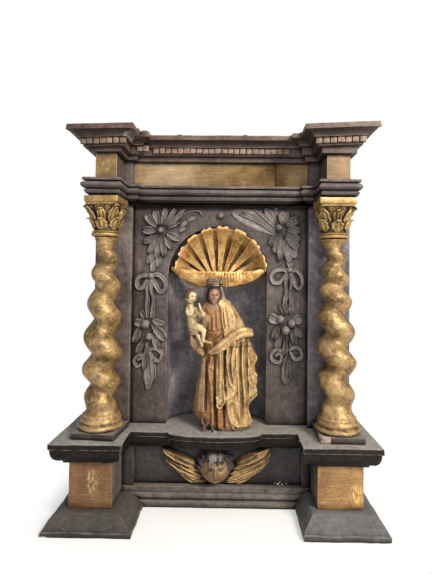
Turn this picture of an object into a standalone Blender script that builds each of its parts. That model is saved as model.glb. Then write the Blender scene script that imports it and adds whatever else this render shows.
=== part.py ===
"""Painted and gilt wooden niche: a small aedicule with twisted columns, a shell hood and a statue.

Metres, +Z up, X to the viewer's right, the front faces -Y. The origin is at the middle of the underside.
Three planes step back in plan: the column wings (front), the pilasters and the niche board (rear).
"""
import bpy
import bmesh
from math import cos, sin, pi, radians, sqrt
from mathutils import Matrix, Vector

GAP = 0.0003             # clearance left between neighbouring pieces

# ---- depth of each plane, front to back (Y)
Y_FOOT = -0.140          # toe of the flared feet
Y_DADO = -0.095          # gilt face of the pedestals
Y_PILASTER = -0.004      # face of the pilasters
Y_PANEL = 0.017          # face of the niche board
Y_CASE = 0.128           # back of the case, where the back board lies
Y_BACK = 0.140           # back of the back board

# ---- heights (Z)
Z_LEDGE_UNDER = 0.1425
Z_LEDGE = 0.1914         # top of the pedestals' cornice and floor of the niche
Z_PLINTH = 0.2060
Z_CAPITAL = 0.6475       # foot of the capitals
Z_ARCHITRAVE = 0.7420
Z_FRIEZE = 0.7826
Z_CORNICE = 0.8440
Z_TOP = 0.8985

# ---- the two wings: distances from the middle line, inner and outer, and the two foot heights;
#      each column leans a little inwards, so it has one distance at its base and one at its capital
WINGS = {
    "left": dict(side=-1, foot=(0.1790, 0.3740), foot_top=0.0375, dado=(0.2325, 0.3295),
                 ledge=(0.2045, 0.3645), architrave=(0.2240, 0.3175), frieze=(0.2403, 0.2903),
                 cornice=(0.1930, 0.3410), case=0.3090, tilt=-0.033,
                 column=(0.2724, 0.2676), abacus=0.0370, turn=-6.0),
    "right": dict(side=1, foot=(0.1885, 0.3740), foot_top=0.0445, dado=(0.2255, 0.3275),
                  ledge=(0.1885, 0.3600), architrave=(0.2260, 0.3240), frieze=(0.2473, 0.3018),
                  cornice=(0.1900, 0.3540), case=0.3200, tilt=0.048,
                  column=(0.2794, 0.2695), abacus=0.0430, turn=0.0),
}
X_PILASTER = 0.2190      # inner edge of the pilasters
X_DADO_STRIP = 0.2040    # inner edge of the raised strips on the dado board

# ---- columns
Y_COLUMN = -0.0545
SHAFT_BOTTOM = 0.2480

# ---- niche
X_NICHE = -0.0060
NICHE_RADIUS = 0.1245
NICHE_SPRING = 0.5600
NICHE_DEPTH = 0.1000
BOARD = 0.0140

# ---- statue
STATUE_BASE = Z_LEDGE + GAP
STATUE_Y = 0.0030

GILT = (0.55, 0.36, 0.12, 1.0)
DARK = (0.055, 0.045, 0.045, 1.0)
SILVER = (0.55, 0.55, 0.52, 1.0)


# ---------------------------------------------------------------- scene, collections, materials
for old in list(bpy.data.objects):
    bpy.data.objects.remove(old, do_unlink=True)

parts = bpy.data.collections.new("carved_niche")
helpers = bpy.data.collections.new("helpers")
bpy.context.scene.collection.children.link(parts)
bpy.context.scene.collection.children.link(helpers)


def make_material(name, colour, roughness, metallic=0.0):
    material = bpy.data.materials.new(name)
    material.use_nodes = True
    shader = material.node_tree.nodes["Principled BSDF"]
    shader.inputs["Base Color"].default_value = colour
    shader.inputs["Roughness"].default_value = roughness
    shader.inputs["Metallic"].default_value = metallic
    return material


dark_paint = make_material("dark_paint", DARK, 0.55)
gilding = make_material("gilding", GILT, 0.45, 0.6)
silver = make_material("silver", SILVER, 0.35, 1.0)


# ---------------------------------------------------------------- mesh helpers
def is_bent(face):
    """True when a face's corners do not share one plane."""
    start = face.verts[0].co
    return any(abs((vert.co - start).dot(face.normal)) > 1e-7 for vert in face.verts)


def add_part(name, bm, material, smooth=False, collection=parts):
    """Close a bmesh off as a named object with flat, outward faces."""
    bmesh.ops.remove_doubles(bm, verts=bm.verts, dist=0.00002)
    bmesh.ops.recalc_face_normals(bm, faces=bm.faces)
    bmesh.ops.triangulate(bm, faces=[face for face in bm.faces if is_bent(face)])
    mesh = bpy.data.meshes.new(name)
    bm.to_mesh(mesh)
    bm.free()
    mesh.materials.append(material)
    obj = bpy.data.objects.new(name, mesh)
    collection.objects.link(obj)
    if smooth:
        mesh.shade_smooth()
        mesh.set_sharp_from_angle(angle=radians(40))
    return obj


def dissolve_flats(obj):
    """Merge facets that lie in one plane, left over from the Booleans."""
    modifier = obj.modifiers.new("dissolve_flats", "DECIMATE")
    modifier.decimate_type = "DISSOLVE"
    modifier.angle_limit = radians(0.5)


def boolean(obj, helper, operation):
    """Cut or join obj with a helper object, which moves to the helpers' collection."""
    for collection in list(helper.users_collection):
        collection.objects.unlink(helper)
    helpers.objects.link(helper)
    helper.hide_render = True
    helper.display_type = "WIRE"
    modifier = obj.modifiers.new(helper.name, "BOOLEAN")
    modifier.operation = operation
    modifier.solver = "EXACT"
    modifier.use_self = operation == "UNION"
    modifier.object = helper


def loft(bm, rings, closed=True):
    """Skin rings of equal count one after another, with a flat cap at each end."""
    rows = [[bm.verts.new(point) for point in ring] for ring in rings]
    count = len(rows[0])
    for low, high in zip(rows, rows[1:]):
        for i in range(count if closed else count - 1):
            j = (i + 1) % count
            bm.faces.new((low[i], low[j], high[j], high[i]))
    bm.faces.new(list(reversed(rows[0])))
    bm.faces.new(rows[-1])
    return rows


def box(bm, x, y, z):
    """A box between the pairs x, y and z."""
    size = Vector((x[1] - x[0], y[1] - y[0], z[1] - z[0]))
    middle = Vector((x[0] + x[1], y[0] + y[1], z[0] + z[1])) / 2
    bmesh.ops.create_cube(bm, size=1.0, matrix=Matrix.Translation(middle) @ Matrix.Diagonal((*size, 1.0)))


def ball(bm, centre, radii, turn=(0.0, 0.0, 0.0), segments=8, rings=5):
    """An ellipsoid, turned by degrees about X, Y and Z."""
    place = Matrix.Translation(centre)
    for axis, angle in zip("ZYX", reversed(turn)):
        place = place @ Matrix.Rotation(radians(angle), 4, axis)
    bmesh.ops.create_uvsphere(bm, u_segments=segments, v_segments=rings, radius=1.0,
                              matrix=place @ Matrix.Diagonal((*radii, 1.0)))


def limb(bm, path, radii, segments=5):
    """A round limb or roll along a path of points, with a radius at each and blunt ends."""
    path = [Vector(point) for point in path]
    rings = []
    for i, (point, radius) in enumerate(zip(path, radii)):
        ahead = (path[min(i + 1, len(path) - 1)] - path[max(i - 1, 0)]).normalized()
        across = ahead.cross(Vector((0.13, -0.97, 0.21))).normalized()
        other = ahead.cross(across)
        rings.append([point + radius * (cos(a) * across + sin(a) * other)
                      for a in (2 * pi * k / segments for k in range(segments))])
    loft(bm, rings)


def leaf(bm, root, tip, width, rise, plane_y, sink=0.002):
    """A blunt leaf with a ridge, lying on the plane plane_y, from near root to tip given as (x, z)."""
    root, tip = Vector((root[0], 0, root[1])), Vector((tip[0], 0, tip[1]))
    root = root + (tip - root).normalized() * 0.005
    along = tip - root
    across = along.cross(Vector((0, 1, 0))).normalized() * width / 2
    stations = ((0.0, 0.22), (0.62, 1.1), (1.0, 0.5))
    ring = [root + along * t + across * w for t, w in stations]
    ring += [root + along * t - across * w for t, w in reversed(stations)]
    edge = [bm.verts.new((p.x, plane_y + sink, p.z)) for p in ring]
    ridge = [bm.verts.new(root + along * t - Vector((0, rise * lift - plane_y, 0)))
             for t, lift in ((0.02, 0.8), (0.62, 1.0), (0.94, 0.8))]
    bm.faces.new(edge)
    for k in range(2):
        bm.faces.new((edge[k], edge[k + 1], ridge[k + 1], ridge[k]))
        bm.faces.new((edge[4 - k], edge[5 - k], ridge[k], ridge[k + 1]))
    bm.faces.new((edge[0], ridge[0], edge[5]))
    bm.faces.new((edge[2], edge[3], ridge[2]))


# ---------------------------------------------------------------- mouldings that follow the plan
def bow(reach, half_width, y, steps=8):
    """Points of a shallow bow that swells forward of y by reach, left to right."""
    angles = [pi * k / steps for k in range(steps + 1)]
    return [(X_NICHE - half_width * cos(a), y - reach * sin(a) ** 0.8) for a in angles]


def stepped_plan(key, y_wing, strip, y_strip, y_middle, y_back, swell=None):
    """Outline seen from above: back left, round the left wing, the strips, the middle, the right wing."""
    left = WINGS["left"][key]
    right = WINGS["right"][key]
    outline = [(-left[1], y_back), (-left[1], y_wing), (-left[0], y_wing)]
    if strip:
        outline += [(-left[0], y_strip), (-strip, y_strip), (-strip, y_middle)]
    else:
        outline += [(-left[0], y_middle)]
    if swell:
        outline += bow(swell[0], swell[1], y_middle)
    if strip:
        outline += [(strip, y_middle), (strip, y_strip), (right[0], y_strip)]
    else:
        outline += [(right[0], y_middle)]
    outline += [(right[0], y_wing), (right[1], y_wing), (right[1], y_back)]
    return outline


def moulding(bm, root, lip, profile, lift=lambda x, y, step: 0.0):
    """Skin a moulding: each profile step (out, z) lies between the root plan (0) and the lip plan (1)."""
    rings = []
    for step, (out, z) in enumerate(profile):
        ring = []
        for (ax, ay), (bx, by) in zip(root, lip):
            x = ax + (bx - ax) * out
            y = ay + (by - ay) * out
            ring.append((x, y, z + lift(x, y, step)))
        rings.append(ring)
    loft(bm, rings)


# flared feet: an ovolo over a thin fillet, (out, share of the height)
FOOT_PROFILE = [(1.0, 0.0), (1.0, 0.27), (0.95, 0.42), (0.82, 0.62), (0.62, 0.83), (0.38, 0.98), (0.0, 1.0)]
Y_FOOT_MIDDLE = -0.013
for name, wing in WINGS.items():
    side = wing["side"]
    foot_in, foot_out = wing["foot"]
    dado_in, dado_out = wing["dado"]
    y_return = Y_FOOT_MIDDLE - GAP
    lip = [(foot_out, Y_BACK), (foot_out, Y_FOOT), (foot_in, Y_FOOT), (foot_in, y_return),
           (dado_in, y_return), (dado_in, Y_BACK)]
    root = [(dado_out, Y_BACK), (dado_out, Y_DADO), (dado_in, Y_DADO), (dado_in, y_return),
            (dado_in, y_return), (dado_in, Y_BACK)]
    bm = bmesh.new()
    moulding(bm, [(side * x, y) for x, y in root], [(side * x, y) for x, y in lip],
             [(out, share * wing["foot_top"]) for out, share in FOOT_PROFILE])
    add_part("base_" + name, bm, dark_paint)

# the foot moulding between the wings: fillet, hollow, ovolo, fillet, toe (distance out, z)
FOOT_MIDDLE_TOP = 0.0480
FOOT_MIDDLE_PROFILE = [(0.020, 0.0), (0.020, 0.0040), (0.022, 0.0050), (0.022, 0.0130), (0.015, 0.0160),
                       (0.019, 0.0210), (0.019, 0.0290), (0.013, 0.0340), (0.016, 0.0370),
                       (0.016, FOOT_MIDDLE_TOP)]
Y_DADO_MIDDLE = 0.009
bm = bmesh.new()
left_end = -WINGS["left"]["dado"][0] + GAP
right_end = WINGS["right"]["dado"][0] - GAP
loft(bm, [[(x, y, z) for x, y in ((left_end, Y_BACK), (left_end, Y_DADO_MIDDLE - out),
                                  (right_end, Y_DADO_MIDDLE - out), (right_end, Y_BACK))]
          for out, z in FOOT_MIDDLE_PROFILE])
add_part("base_centre", bm, dark_paint)

# pedestals: boxes that run back to the back board, gilt on the front
for name, wing in WINGS.items():
    side = wing["side"]
    dado_in, dado_out = sorted(side * x for x in wing["dado"])
    bm = bmesh.new()
    box(bm, (dado_in, dado_out), (Y_DADO, Y_CASE), (wing["foot_top"] + GAP, Z_LEDGE_UNDER))
    add_part("pedestal_" + name, bm, gilding)

# dado board between the pedestals, with a raised strip at each end
DADO_BOARD_BACK = 0.030
bm = bmesh.new()
left_end = -WINGS["left"]["dado"][0] + GAP
right_end = WINGS["right"]["dado"][0] - GAP
dado_outline = [(left_end, DADO_BOARD_BACK), (left_end, Y_PILASTER), (-X_DADO_STRIP, Y_PILASTER),
                (-X_DADO_STRIP, Y_DADO_MIDDLE), (X_DADO_STRIP, Y_DADO_MIDDLE), (X_DADO_STRIP, Y_PILASTER),
                (right_end, Y_PILASTER), (right_end, DADO_BOARD_BACK)]
loft(bm, [[(x, y, z) for x, y in dado_outline] for z in (FOOT_MIDDLE_TOP + GAP, Z_LEDGE_UNDER)])
add_part("dado_panel", bm, dark_paint)

# ledge: ovolo under a flat lip round the wings, bowed in the middle to carry the statue
LEDGE_REACH = 0.035
LEDGE_PROFILE = [(0.0, Z_LEDGE_UNDER + GAP), (0.28, 0.1432), (0.36, 0.1490), (0.62, 0.1565), (0.80, 0.1630),
                 (0.90, 0.1715), (0.94, 0.1820), (1.0, 0.1825), (1.0, Z_LEDGE)]
Y_LEDGE_MIDDLE = -0.044
BOW_REACH = 0.030
BOW_HALF_WIDTH = 0.110
root = stepped_plan("dado", Y_DADO, None, None, Y_DADO_MIDDLE, Y_CASE,
                    (BOW_REACH * 0.5, BOW_HALF_WIDTH * 0.7))
lip = stepped_plan("ledge", Y_DADO - LEDGE_REACH, None, None, Y_LEDGE_MIDDLE, Y_CASE,
                   (BOW_REACH, BOW_HALF_WIDTH))
bm = bmesh.new()
moulding(bm, root, lip, LEDGE_PROFILE)
add_part("ledge", bm, dark_paint)

# ---------------------------------------------------------------- case: pilasters, board, recess, back
for name, wing in WINGS.items():
    side = wing["side"]
    z_span = (Z_LEDGE + GAP, 0.7345 - GAP)
    inner, outer, wall = side * X_PILASTER, side * wing["case"], side * (wing["case"] - 0.015)
    outline = [(inner, Y_PILASTER), (outer, Y_PILASTER), (outer, Y_CASE), (wall, Y_CASE),
               (wall, Y_PANEL), (inner, Y_PANEL)]
    bm = bmesh.new()
    loft(bm, [[(x, y, z) for x, y in outline] for z in z_span])
    add_part("pilaster_" + name, bm, dark_paint)

# niche board with the round-arched opening, made as one flat outline
ARCH_STEPS = 20
board_left, board_right = -X_PILASTER + GAP, X_PILASTER - GAP
board_bottom, board_top = Z_LEDGE + GAP, 0.7345 - GAP
arch = [(X_NICHE + NICHE_RADIUS * cos(pi * k / ARCH_STEPS),
         NICHE_SPRING + NICHE_RADIUS * sin(pi * k / ARCH_STEPS))
        for k in range(ARCH_STEPS + 1)]
outline = [(board_left, board_bottom), (board_left, board_top), (board_right, board_top),
           (board_right, board_bottom), (arch[0][0], board_bottom)] + arch + [(arch[-1][0], board_bottom)]
bm = bmesh.new()
loft(bm, [[(x, y, z) for x, z in outline] for y in (Y_PANEL, Y_PANEL + BOARD)])
add_part("niche_board", bm, dark_paint)

# recess: half a tube under a quarter dome, bent from thin boards, 5 mm thick
RECESS_WALL = 0.005
RECESS_STEPS = 10
DOME_STEPS = 3
recess_front = Y_PANEL + BOARD + GAP
recess_depth = NICHE_DEPTH - BOARD
bm = bmesh.new()
rows = []
for z, squeeze in [(Z_LEDGE + GAP, 1.0), (NICHE_SPRING, 1.0)] + [
        (NICHE_SPRING + NICHE_RADIUS * sin(pi / 2 * k / DOME_STEPS), cos(pi / 2 * k / DOME_STEPS))
        for k in range(1, DOME_STEPS)]:
    rows.append([bm.verts.new((X_NICHE - NICHE_RADIUS * squeeze * cos(pi * k / RECESS_STEPS),
                               recess_front + recess_depth * squeeze * sin(pi * k / RECESS_STEPS), z))
                 for k in range(RECESS_STEPS + 1)])
crown_vert = bm.verts.new((X_NICHE, recess_front, NICHE_SPRING + NICHE_RADIUS))
for low, high in zip(rows, rows[1:]):
    for k in range(RECESS_STEPS):
        bm.faces.new((low[k], low[k + 1], high[k + 1], high[k]))
for k in range(RECESS_STEPS):
    bm.faces.new((rows[-1][k], rows[-1][k + 1], crown_vert))
recess = add_part("niche_recess", bm, dark_paint)
recess_trim = bmesh.new()
box(recess_trim, (-0.20, 0.20), (recess_front - 0.05, recess_front), (0.11, 0.80))
box(recess_trim, (-0.21, 0.21), (recess_front - 0.06, Y_CASE + 0.05), (0.10, Z_LEDGE + GAP))
thick = recess.modifiers.new("wall", "SOLIDIFY")
thick.thickness = RECESS_WALL
thick.offset = 1.0
thick.use_even_offset = True
boolean(recess, add_part("recess_trim", recess_trim, dark_paint), "DIFFERENCE")

bm = bmesh.new()
box(bm, (-WINGS["left"]["case"], WINGS["right"]["case"]), (Y_CASE + GAP, Y_BACK),
    (FOOT_MIDDLE_TOP + GAP, Z_CORNICE - GAP))
add_part("back_board", bm, dark_paint)

# ---------------------------------------------------------------- entablature
ARCHITRAVE_PROFILE = [(0.30, Z_ARCHITRAVE), (0.42, 0.7440), (0.62, 0.7490), (0.78, 0.7570), (0.98, 0.7590),
                      (1.0, 0.7665), (0.97, 0.7735), (0.84, 0.7745), (0.84, Z_FRIEZE)]
root = stepped_plan("frieze", -0.076, X_PILASTER, Y_PILASTER, Y_DADO_MIDDLE, Y_CASE)
lip = stepped_plan("architrave", -0.100, 0.1960, -0.028, -0.015, Y_CASE)
bm = bmesh.new()
moulding(bm, root, lip, ARCHITRAVE_PROFILE)
architrave = add_part("architrave", bm, dark_paint)

# its lowest bead runs only between the capitals, over the niche board and the pilasters' edges
Z_BEAD = 0.7345
BEAD_PROFILE = [(0.0, Z_BEAD), (0.5, 0.7350), (0.62, 0.7385), (0.5, 0.7415), (0.27, 0.7430), (0.25, 0.7480)]
X_BEAD = 0.2250
bead_root = [(-X_BEAD, 0.10), (-X_BEAD, Y_PILASTER),
             (-X_PILASTER, Y_PILASTER), (-X_PILASTER, Y_DADO_MIDDLE),
             (X_PILASTER, Y_DADO_MIDDLE), (X_PILASTER, Y_PILASTER),
             (X_BEAD, Y_PILASTER), (X_BEAD, 0.10)]
bead_lip = [(-X_BEAD, 0.10), (-X_BEAD, -0.028), (-0.196, -0.028), (-0.196, -0.015),
            (0.196, -0.015), (0.196, -0.028), (X_BEAD, -0.028), (X_BEAD, 0.10)]
bm = bmesh.new()
moulding(bm, bead_root, bead_lip, BEAD_PROFILE)
boolean(architrave, add_part("architrave_bead", bm, dark_paint), "UNION")

frieze_outline = []
for x, y in root:
    frieze_outline.append((x, y))
for name in ("left", "right"):
    wing = WINGS[name]
    case_x = wing["side"] * wing["case"]
    corner = [(case_x, Y_CASE), (case_x, Y_PILASTER), (wing["side"] * wing["frieze"][1], Y_PILASTER)]
    if name == "left":
        frieze_outline[0:1] = corner
    else:
        frieze_outline[-1:] = list(reversed(corner))
bm = bmesh.new()
loft(bm, [[(x, y, z) for x, y in frieze_outline] for z in (Z_FRIEZE + GAP, Z_CORNICE - GAP)])
add_part("frieze", bm, gilding)


def lean(x, y, step):
    """The cornice of each wing has warped and leans a little, more towards its outer end."""
    for wing in WINGS.values():
        reach = wing["side"] * x - wing["cornice"][0]
        if reach > 0 and step > 1:
            return wing["tilt"] * reach
    return 0.0


CORNICE_PROFILE = [(0.0, Z_CORNICE), (0.24, 0.8442), (0.26, 0.8540), (0.44, 0.8570), (0.44, 0.8735),
                   (0.66, 0.8745), (0.74, 0.8790), (0.86, 0.8840), (0.97, 0.8862), (1.0, 0.8868), (1.0, Z_TOP)]
Y_CORNICE_WING = -0.126
Y_CORNICE_STRIP = -0.064
Y_CORNICE_MIDDLE = -0.042
X_CORNICE_STRIP = 0.1690
lip = stepped_plan("cornice", Y_CORNICE_WING, X_CORNICE_STRIP, Y_CORNICE_STRIP, Y_CORNICE_MIDDLE, Y_BACK)
root_cornice = stepped_plan("frieze", -0.076, X_PILASTER, Y_PILASTER, Y_DADO_MIDDLE, Y_BACK)
bm = bmesh.new()
moulding(bm, root_cornice, lip, CORNICE_PROFILE, lean)
cornice = add_part("cornice", bm, dark_paint)

# dentils: small blocks on the flat band under the cove
DENTIL_BAND = (0.8605, 0.8730)
DENTIL_OUT = 0.60
dentils = bmesh.new()


def dentil_row(x_start, x_end, y_root, y_lip, count, tilt, x_hinge):
    y_face = y_root + (y_lip - y_root) * DENTIL_OUT
    y_band = y_root + (y_lip - y_root) * 0.44
    pitch = (x_end - x_start) / count
    for k in range(count):
        x = x_start + pitch * k
        rise = tilt * (abs(x + pitch / 2) - x_hinge)
        box(dentils, (x + pitch * 0.18, x + pitch * 0.82), (y_face, y_band + 0.003),
            (DENTIL_BAND[0] + rise, DENTIL_BAND[1] + rise))


for name, wing in WINGS.items():
    ends = []
    for frieze_x, cornice_x in zip(wing["frieze"], wing["cornice"]):
        ends.append(wing["side"] * (frieze_x + (cornice_x - frieze_x) * 0.55))
    dentil_row(min(ends), max(ends), -0.076, Y_CORNICE_WING, 7, wing["tilt"], wing["cornice"][0])
middle_end = X_PILASTER + (X_CORNICE_STRIP - X_PILASTER) * 0.44 - 0.002
dentil_row(-middle_end, middle_end, Y_DADO_MIDDLE, Y_CORNICE_MIDDLE, 22, 0.0, 0.0)
boolean(cornice, add_part("dentils", dentils, dark_paint), "UNION")
dissolve_flats(cornice)

# ---------------------------------------------------------------- columns
PLINTH_HALF = 0.0500
SHAFT_SIDES = 8
SHAFT_RINGS = 28
CUT_Y = Y_PILASTER - GAP   # plinth, base and abacus are cut flat where they meet the pilaster


# down the shaft: height, half thickness of the rope of wood, and how far its middle swings off the axis
SHAFT = ((0.648, 0.0225, 0.0005), (0.630, 0.0230, 0.0045), (0.600, 0.0255, 0.0070), (0.500, 0.0310, 0.0095),
         (0.400, 0.0350, 0.0115), (0.340, 0.0350, 0.0115), (0.300, 0.0335, 0.0085), (0.262, 0.0320, 0.0045),
         (0.240, 0.0350, 0.0000))
# heights at which the swell of the rope faces +X; from one to the next it makes a full turn
SWELLS = {"left": (0.661, 0.600, 0.538, 0.461, 0.379, 0.310, 0.246),
          "right": (0.655, 0.6045, 0.5545, 0.503, 0.432, 0.359, 0.283, 0.215)}


def shaft_at(z):
    """Half thickness and swing of the shaft at a height, read off SHAFT."""
    for (z_top, r_top, e_top), (z_low, r_low, e_low) in zip(SHAFT, SHAFT[1:]):
        if z >= z_low:
            part = (z_top - z) / (z_top - z_low)
            return r_top + (r_low - r_top) * part, e_top + (e_low - e_top) * part
    return SHAFT[-1][1:]


def turns_at(name, z):
    """Turns of the rope counted from the top swell, read off SWELLS."""
    heights = SWELLS[name]
    for k, (z_top, z_low) in enumerate(zip(heights, heights[1:])):
        if z >= z_low:
            return k + (z_top - z) / (z_top - z_low)
    return len(heights) - 1


def axis_at(wing, z):
    """Where the leaning column's axis stands at a height."""
    x_foot, x_head = wing["column"]
    part = (z - Z_PLINTH) / (Z_CAPITAL - Z_PLINTH)
    return wing["side"] * (x_foot + (x_head - x_foot) * part)


def circle(x, y, radius, z, sides):
    """A level ring of points about x, y, kept clear of the pilaster."""
    turns = [2 * pi * k / sides for k in range(sides)]
    return [(x + radius * cos(a), min(y + radius * sin(a), CUT_Y), z) for a in turns]


COLUMN_BASE_PROFILE = [(0.0460, Z_PLINTH + GAP), (0.0500, 0.2095), (0.0510, 0.2140), (0.0490, 0.2185),
                       (0.0435, 0.2205), (0.0450, 0.2250), (0.0455, 0.2310), (0.0430, 0.2370),
                       (0.0395, 0.2420), (0.0350, SHAFT_BOTTOM)]
for name, wing in WINGS.items():
    x = axis_at(wing, Z_PLINTH)
    turned_square = [(PLINTH_HALF * u, PLINTH_HALF * v) for u, v in ((-1, -1), (1, -1), (1, 1), (-1, 1))]
    yaw = radians(wing["turn"])
    square = [(x + u * cos(yaw) - v * sin(yaw), Y_COLUMN + u * sin(yaw) + v * cos(yaw))
              for u, v in turned_square]
    bm = bmesh.new()
    loft(bm, [[(u, min(v, CUT_Y), z) for u, v in square] for z in (Z_LEDGE + GAP, Z_PLINTH)])
    add_part("plinth_" + name, bm, dark_paint)

    rings = [circle(x, Y_COLUMN, r, z, SHAFT_SIDES) for r, z in COLUMN_BASE_PROFILE]
    for step in range(1, SHAFT_RINGS + 1):
        z = SHAFT_BOTTOM + step / SHAFT_RINGS * (Z_CAPITAL - GAP - SHAFT_BOTTOM)
        radius, swing = shaft_at(z)
        turn = 2 * pi * turns_at(name, z)
        cx = axis_at(wing, z) + swing * cos(turn)
        cy = Y_COLUMN + swing * sin(turn)
        rings.append(circle(cx, cy, radius, z, SHAFT_SIDES))
    bm = bmesh.new()
    loft(bm, rings)
    add_part("column_" + name, bm, gilding, smooth=True)

# ---------------------------------------------------------------- capitals
BELL_PROFILE = [(0.0290, Z_CAPITAL), (0.0350, 0.6510), (0.0355, 0.6560), (0.0310, 0.6590), (0.0290, 0.6650),
                (0.0285, 0.6900), (0.0310, 0.7050), (0.0360, 0.7170)]
ABACUS = (0.7170, 0.7417)


def capital_leaf(bm, x, y, angle, root_r, tip_r, z_low, z_high, width):
    """A leaf that climbs the bell and curls out at its tip."""
    out = Vector((cos(angle), sin(angle), 0))
    across = Vector((-sin(angle), cos(angle), 0))
    rings = []
    for t, bulge, w in ((0.0, 0.004, 1.0), (0.6, 0.006, 1.0), (1.0, 0.0, 0.55)):
        r = root_r + (tip_r - root_r) * t ** 2.2 + bulge
        z = z_low + (z_high - z_low) * (t if t < 1 else 0.93)
        middle = Vector((x, y, z)) + out * r
        inner = middle - out * (0.012 if t < 0.9 else 0.008)
        rings.append([inner - across * w * width / 2, middle - across * w * width / 2,
                      middle + across * w * width / 2, inner + across * w * width / 2])
    loft(bm, rings)


for name, wing in WINGS.items():
    x = axis_at(wing, Z_CAPITAL)
    abacus = wing["abacus"]
    yaw = radians(wing["turn"])
    bm = bmesh.new()
    loft(bm, [circle(x, Y_COLUMN, r, z, 10) for r, z in BELL_PROFILE])
    capital = add_part("capital_" + name, bm, gilding)
    bm = bmesh.new()
    for k in range(6):
        capital_leaf(bm, x, Y_COLUMN, yaw + pi * (k + 0.5) / 3, 0.028, 0.041, 0.6600, 0.6890, 0.022)
    for k in range(4):
        capital_leaf(bm, x, Y_COLUMN, yaw + pi * (k + 0.5) / 2, 0.026, abacus + 0.0095,
                     0.6800, 0.7130, 0.016)
    rings = []
    for z, half in ((ABACUS[0], abacus - 0.005), (0.7215, abacus), (ABACUS[1], abacus)):
        corners = [yaw + pi * (k + 0.5) / 2 for k in range(4)]
        rings.append([(x + half * sqrt(2) * cos(a), min(Y_COLUMN + half * sqrt(2) * sin(a), CUT_Y), z)
                      for a in corners])
    loft(bm, rings)
    boolean(capital, add_part("leaves_" + name, bm, gilding), "UNION")
    dissolve_flats(capital)

# ---------------------------------------------------------------- shell hood
SHELL_RIBS = 9
SHELL_STEPS = 3
SHELL_WALL = 0.004
SHELL_RIM = 0.1150
SHELL_Z = 0.5660
HINGE_HALF = 0.0480
HINGE_Y = 0.082
SHELL_COLUMNS = SHELL_RIBS * 3


def shell_point(u, t, wall):
    """A point of the ribbed hood: u runs round the fan, t from the hinge to the rim."""
    angle = pi * (1.04 - 1.08 * u)
    wave = 0.5 - 0.5 * cos(2 * pi * u * SHELL_RIBS)
    reach = SHELL_RIM * (0.93 + 0.07 * wave) + wall
    rim = Vector((X_NICHE + reach * cos(angle), 0.010, SHELL_Z + reach * sin(angle)))
    hinge = Vector((X_NICHE - HINGE_HALF * (1 - 2 * u), HINGE_Y, SHELL_Z + 0.004 + wall * 0.5))
    point = hinge.lerp(rim, t)
    point.y = HINGE_Y + (rim.y - HINGE_Y) * (1 - 0.75 * sqrt(1 - t * t)) if t else HINGE_Y - 0.012
    point.y += wall - 0.008 * wave * min(1.0, t * 2)
    return point


bm = bmesh.new()
sheets = []
for wall in (0.0, SHELL_WALL):
    sheets.append([[bm.verts.new(shell_point(k / SHELL_COLUMNS, row / SHELL_STEPS, wall))
                    for k in range(SHELL_COLUMNS + 1)] for row in range(SHELL_STEPS + 1)])
for sheet in sheets:
    for low, high in zip(sheet, sheet[1:]):
        for k in range(SHELL_COLUMNS):
            bm.faces.new((low[k], high[k], high[k + 1], low[k + 1]))
front, rear = sheets
for row in (0, SHELL_STEPS):
    for k in range(SHELL_COLUMNS):
        bm.faces.new((front[row][k], front[row][k + 1], rear[row][k + 1], rear[row][k]))
for k in (0, SHELL_COLUMNS):
    for row in range(SHELL_STEPS):
        bm.faces.new((front[row][k], front[row + 1][k], rear[row + 1][k], rear[row][k]))
shell = add_part("shell", bm, gilding)
lip_bm = bmesh.new()
LIP_STEPS = 8
lip_rings = []
for k in range(LIP_STEPS + 1):
    u = k / LIP_STEPS * 2 - 1
    x = X_NICHE + u * 0.1005
    drop = 0.030 * (1 - u * u) ** 0.5 if abs(u) < 1 else 0.0
    front = 0.020 + 0.024 * (1 - abs(u))
    lip_rings.append([(x, front + 0.052, SHELL_Z + 0.008), (x, front, SHELL_Z + 0.006),
                      (x, front - 0.010, SHELL_Z - 0.006 - drop * 0.6), (x, front - 0.004, SHELL_Z - 0.008 - drop),
                      (x, front + 0.022, SHELL_Z - 0.006 - drop * 0.7)])
loft(lip_bm, lip_rings)
boolean(shell, add_part("shell_lip", lip_bm, gilding), "UNION")
dissolve_flats(shell)

# ---------------------------------------------------------------- carved garlands and boss
BACK_OF_CARVING = Y_PANEL - GAP


def ribbon_loop(bm, centre, radius, thickness, sides=8):
    """A loop of ribbon lying on the board."""
    rings = []
    for k in range(sides):
        a = 2 * pi * k / sides
        out = Vector((cos(a), 0, sin(a)))
        middle = Vector((centre[0], BACK_OF_CARVING - 0.005, centre[1])) + out * radius
        rings.append([middle + out * thickness * part + Vector((0, y, 0))
                      for part, y in ((1.0, 0.007), (0.6, -0.004), (-0.6, -0.004), (-1.0, 0.007))])
    rows = [[bm.verts.new(p) for p in ring] for ring in rings]
    for k in range(sides):
        low, high = rows[k], rows[(k + 1) % sides]
        for i in range(4):
            j = (i + 1) % 4
            bm.faces.new((low[i], low[j], high[j], high[i]))


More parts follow.
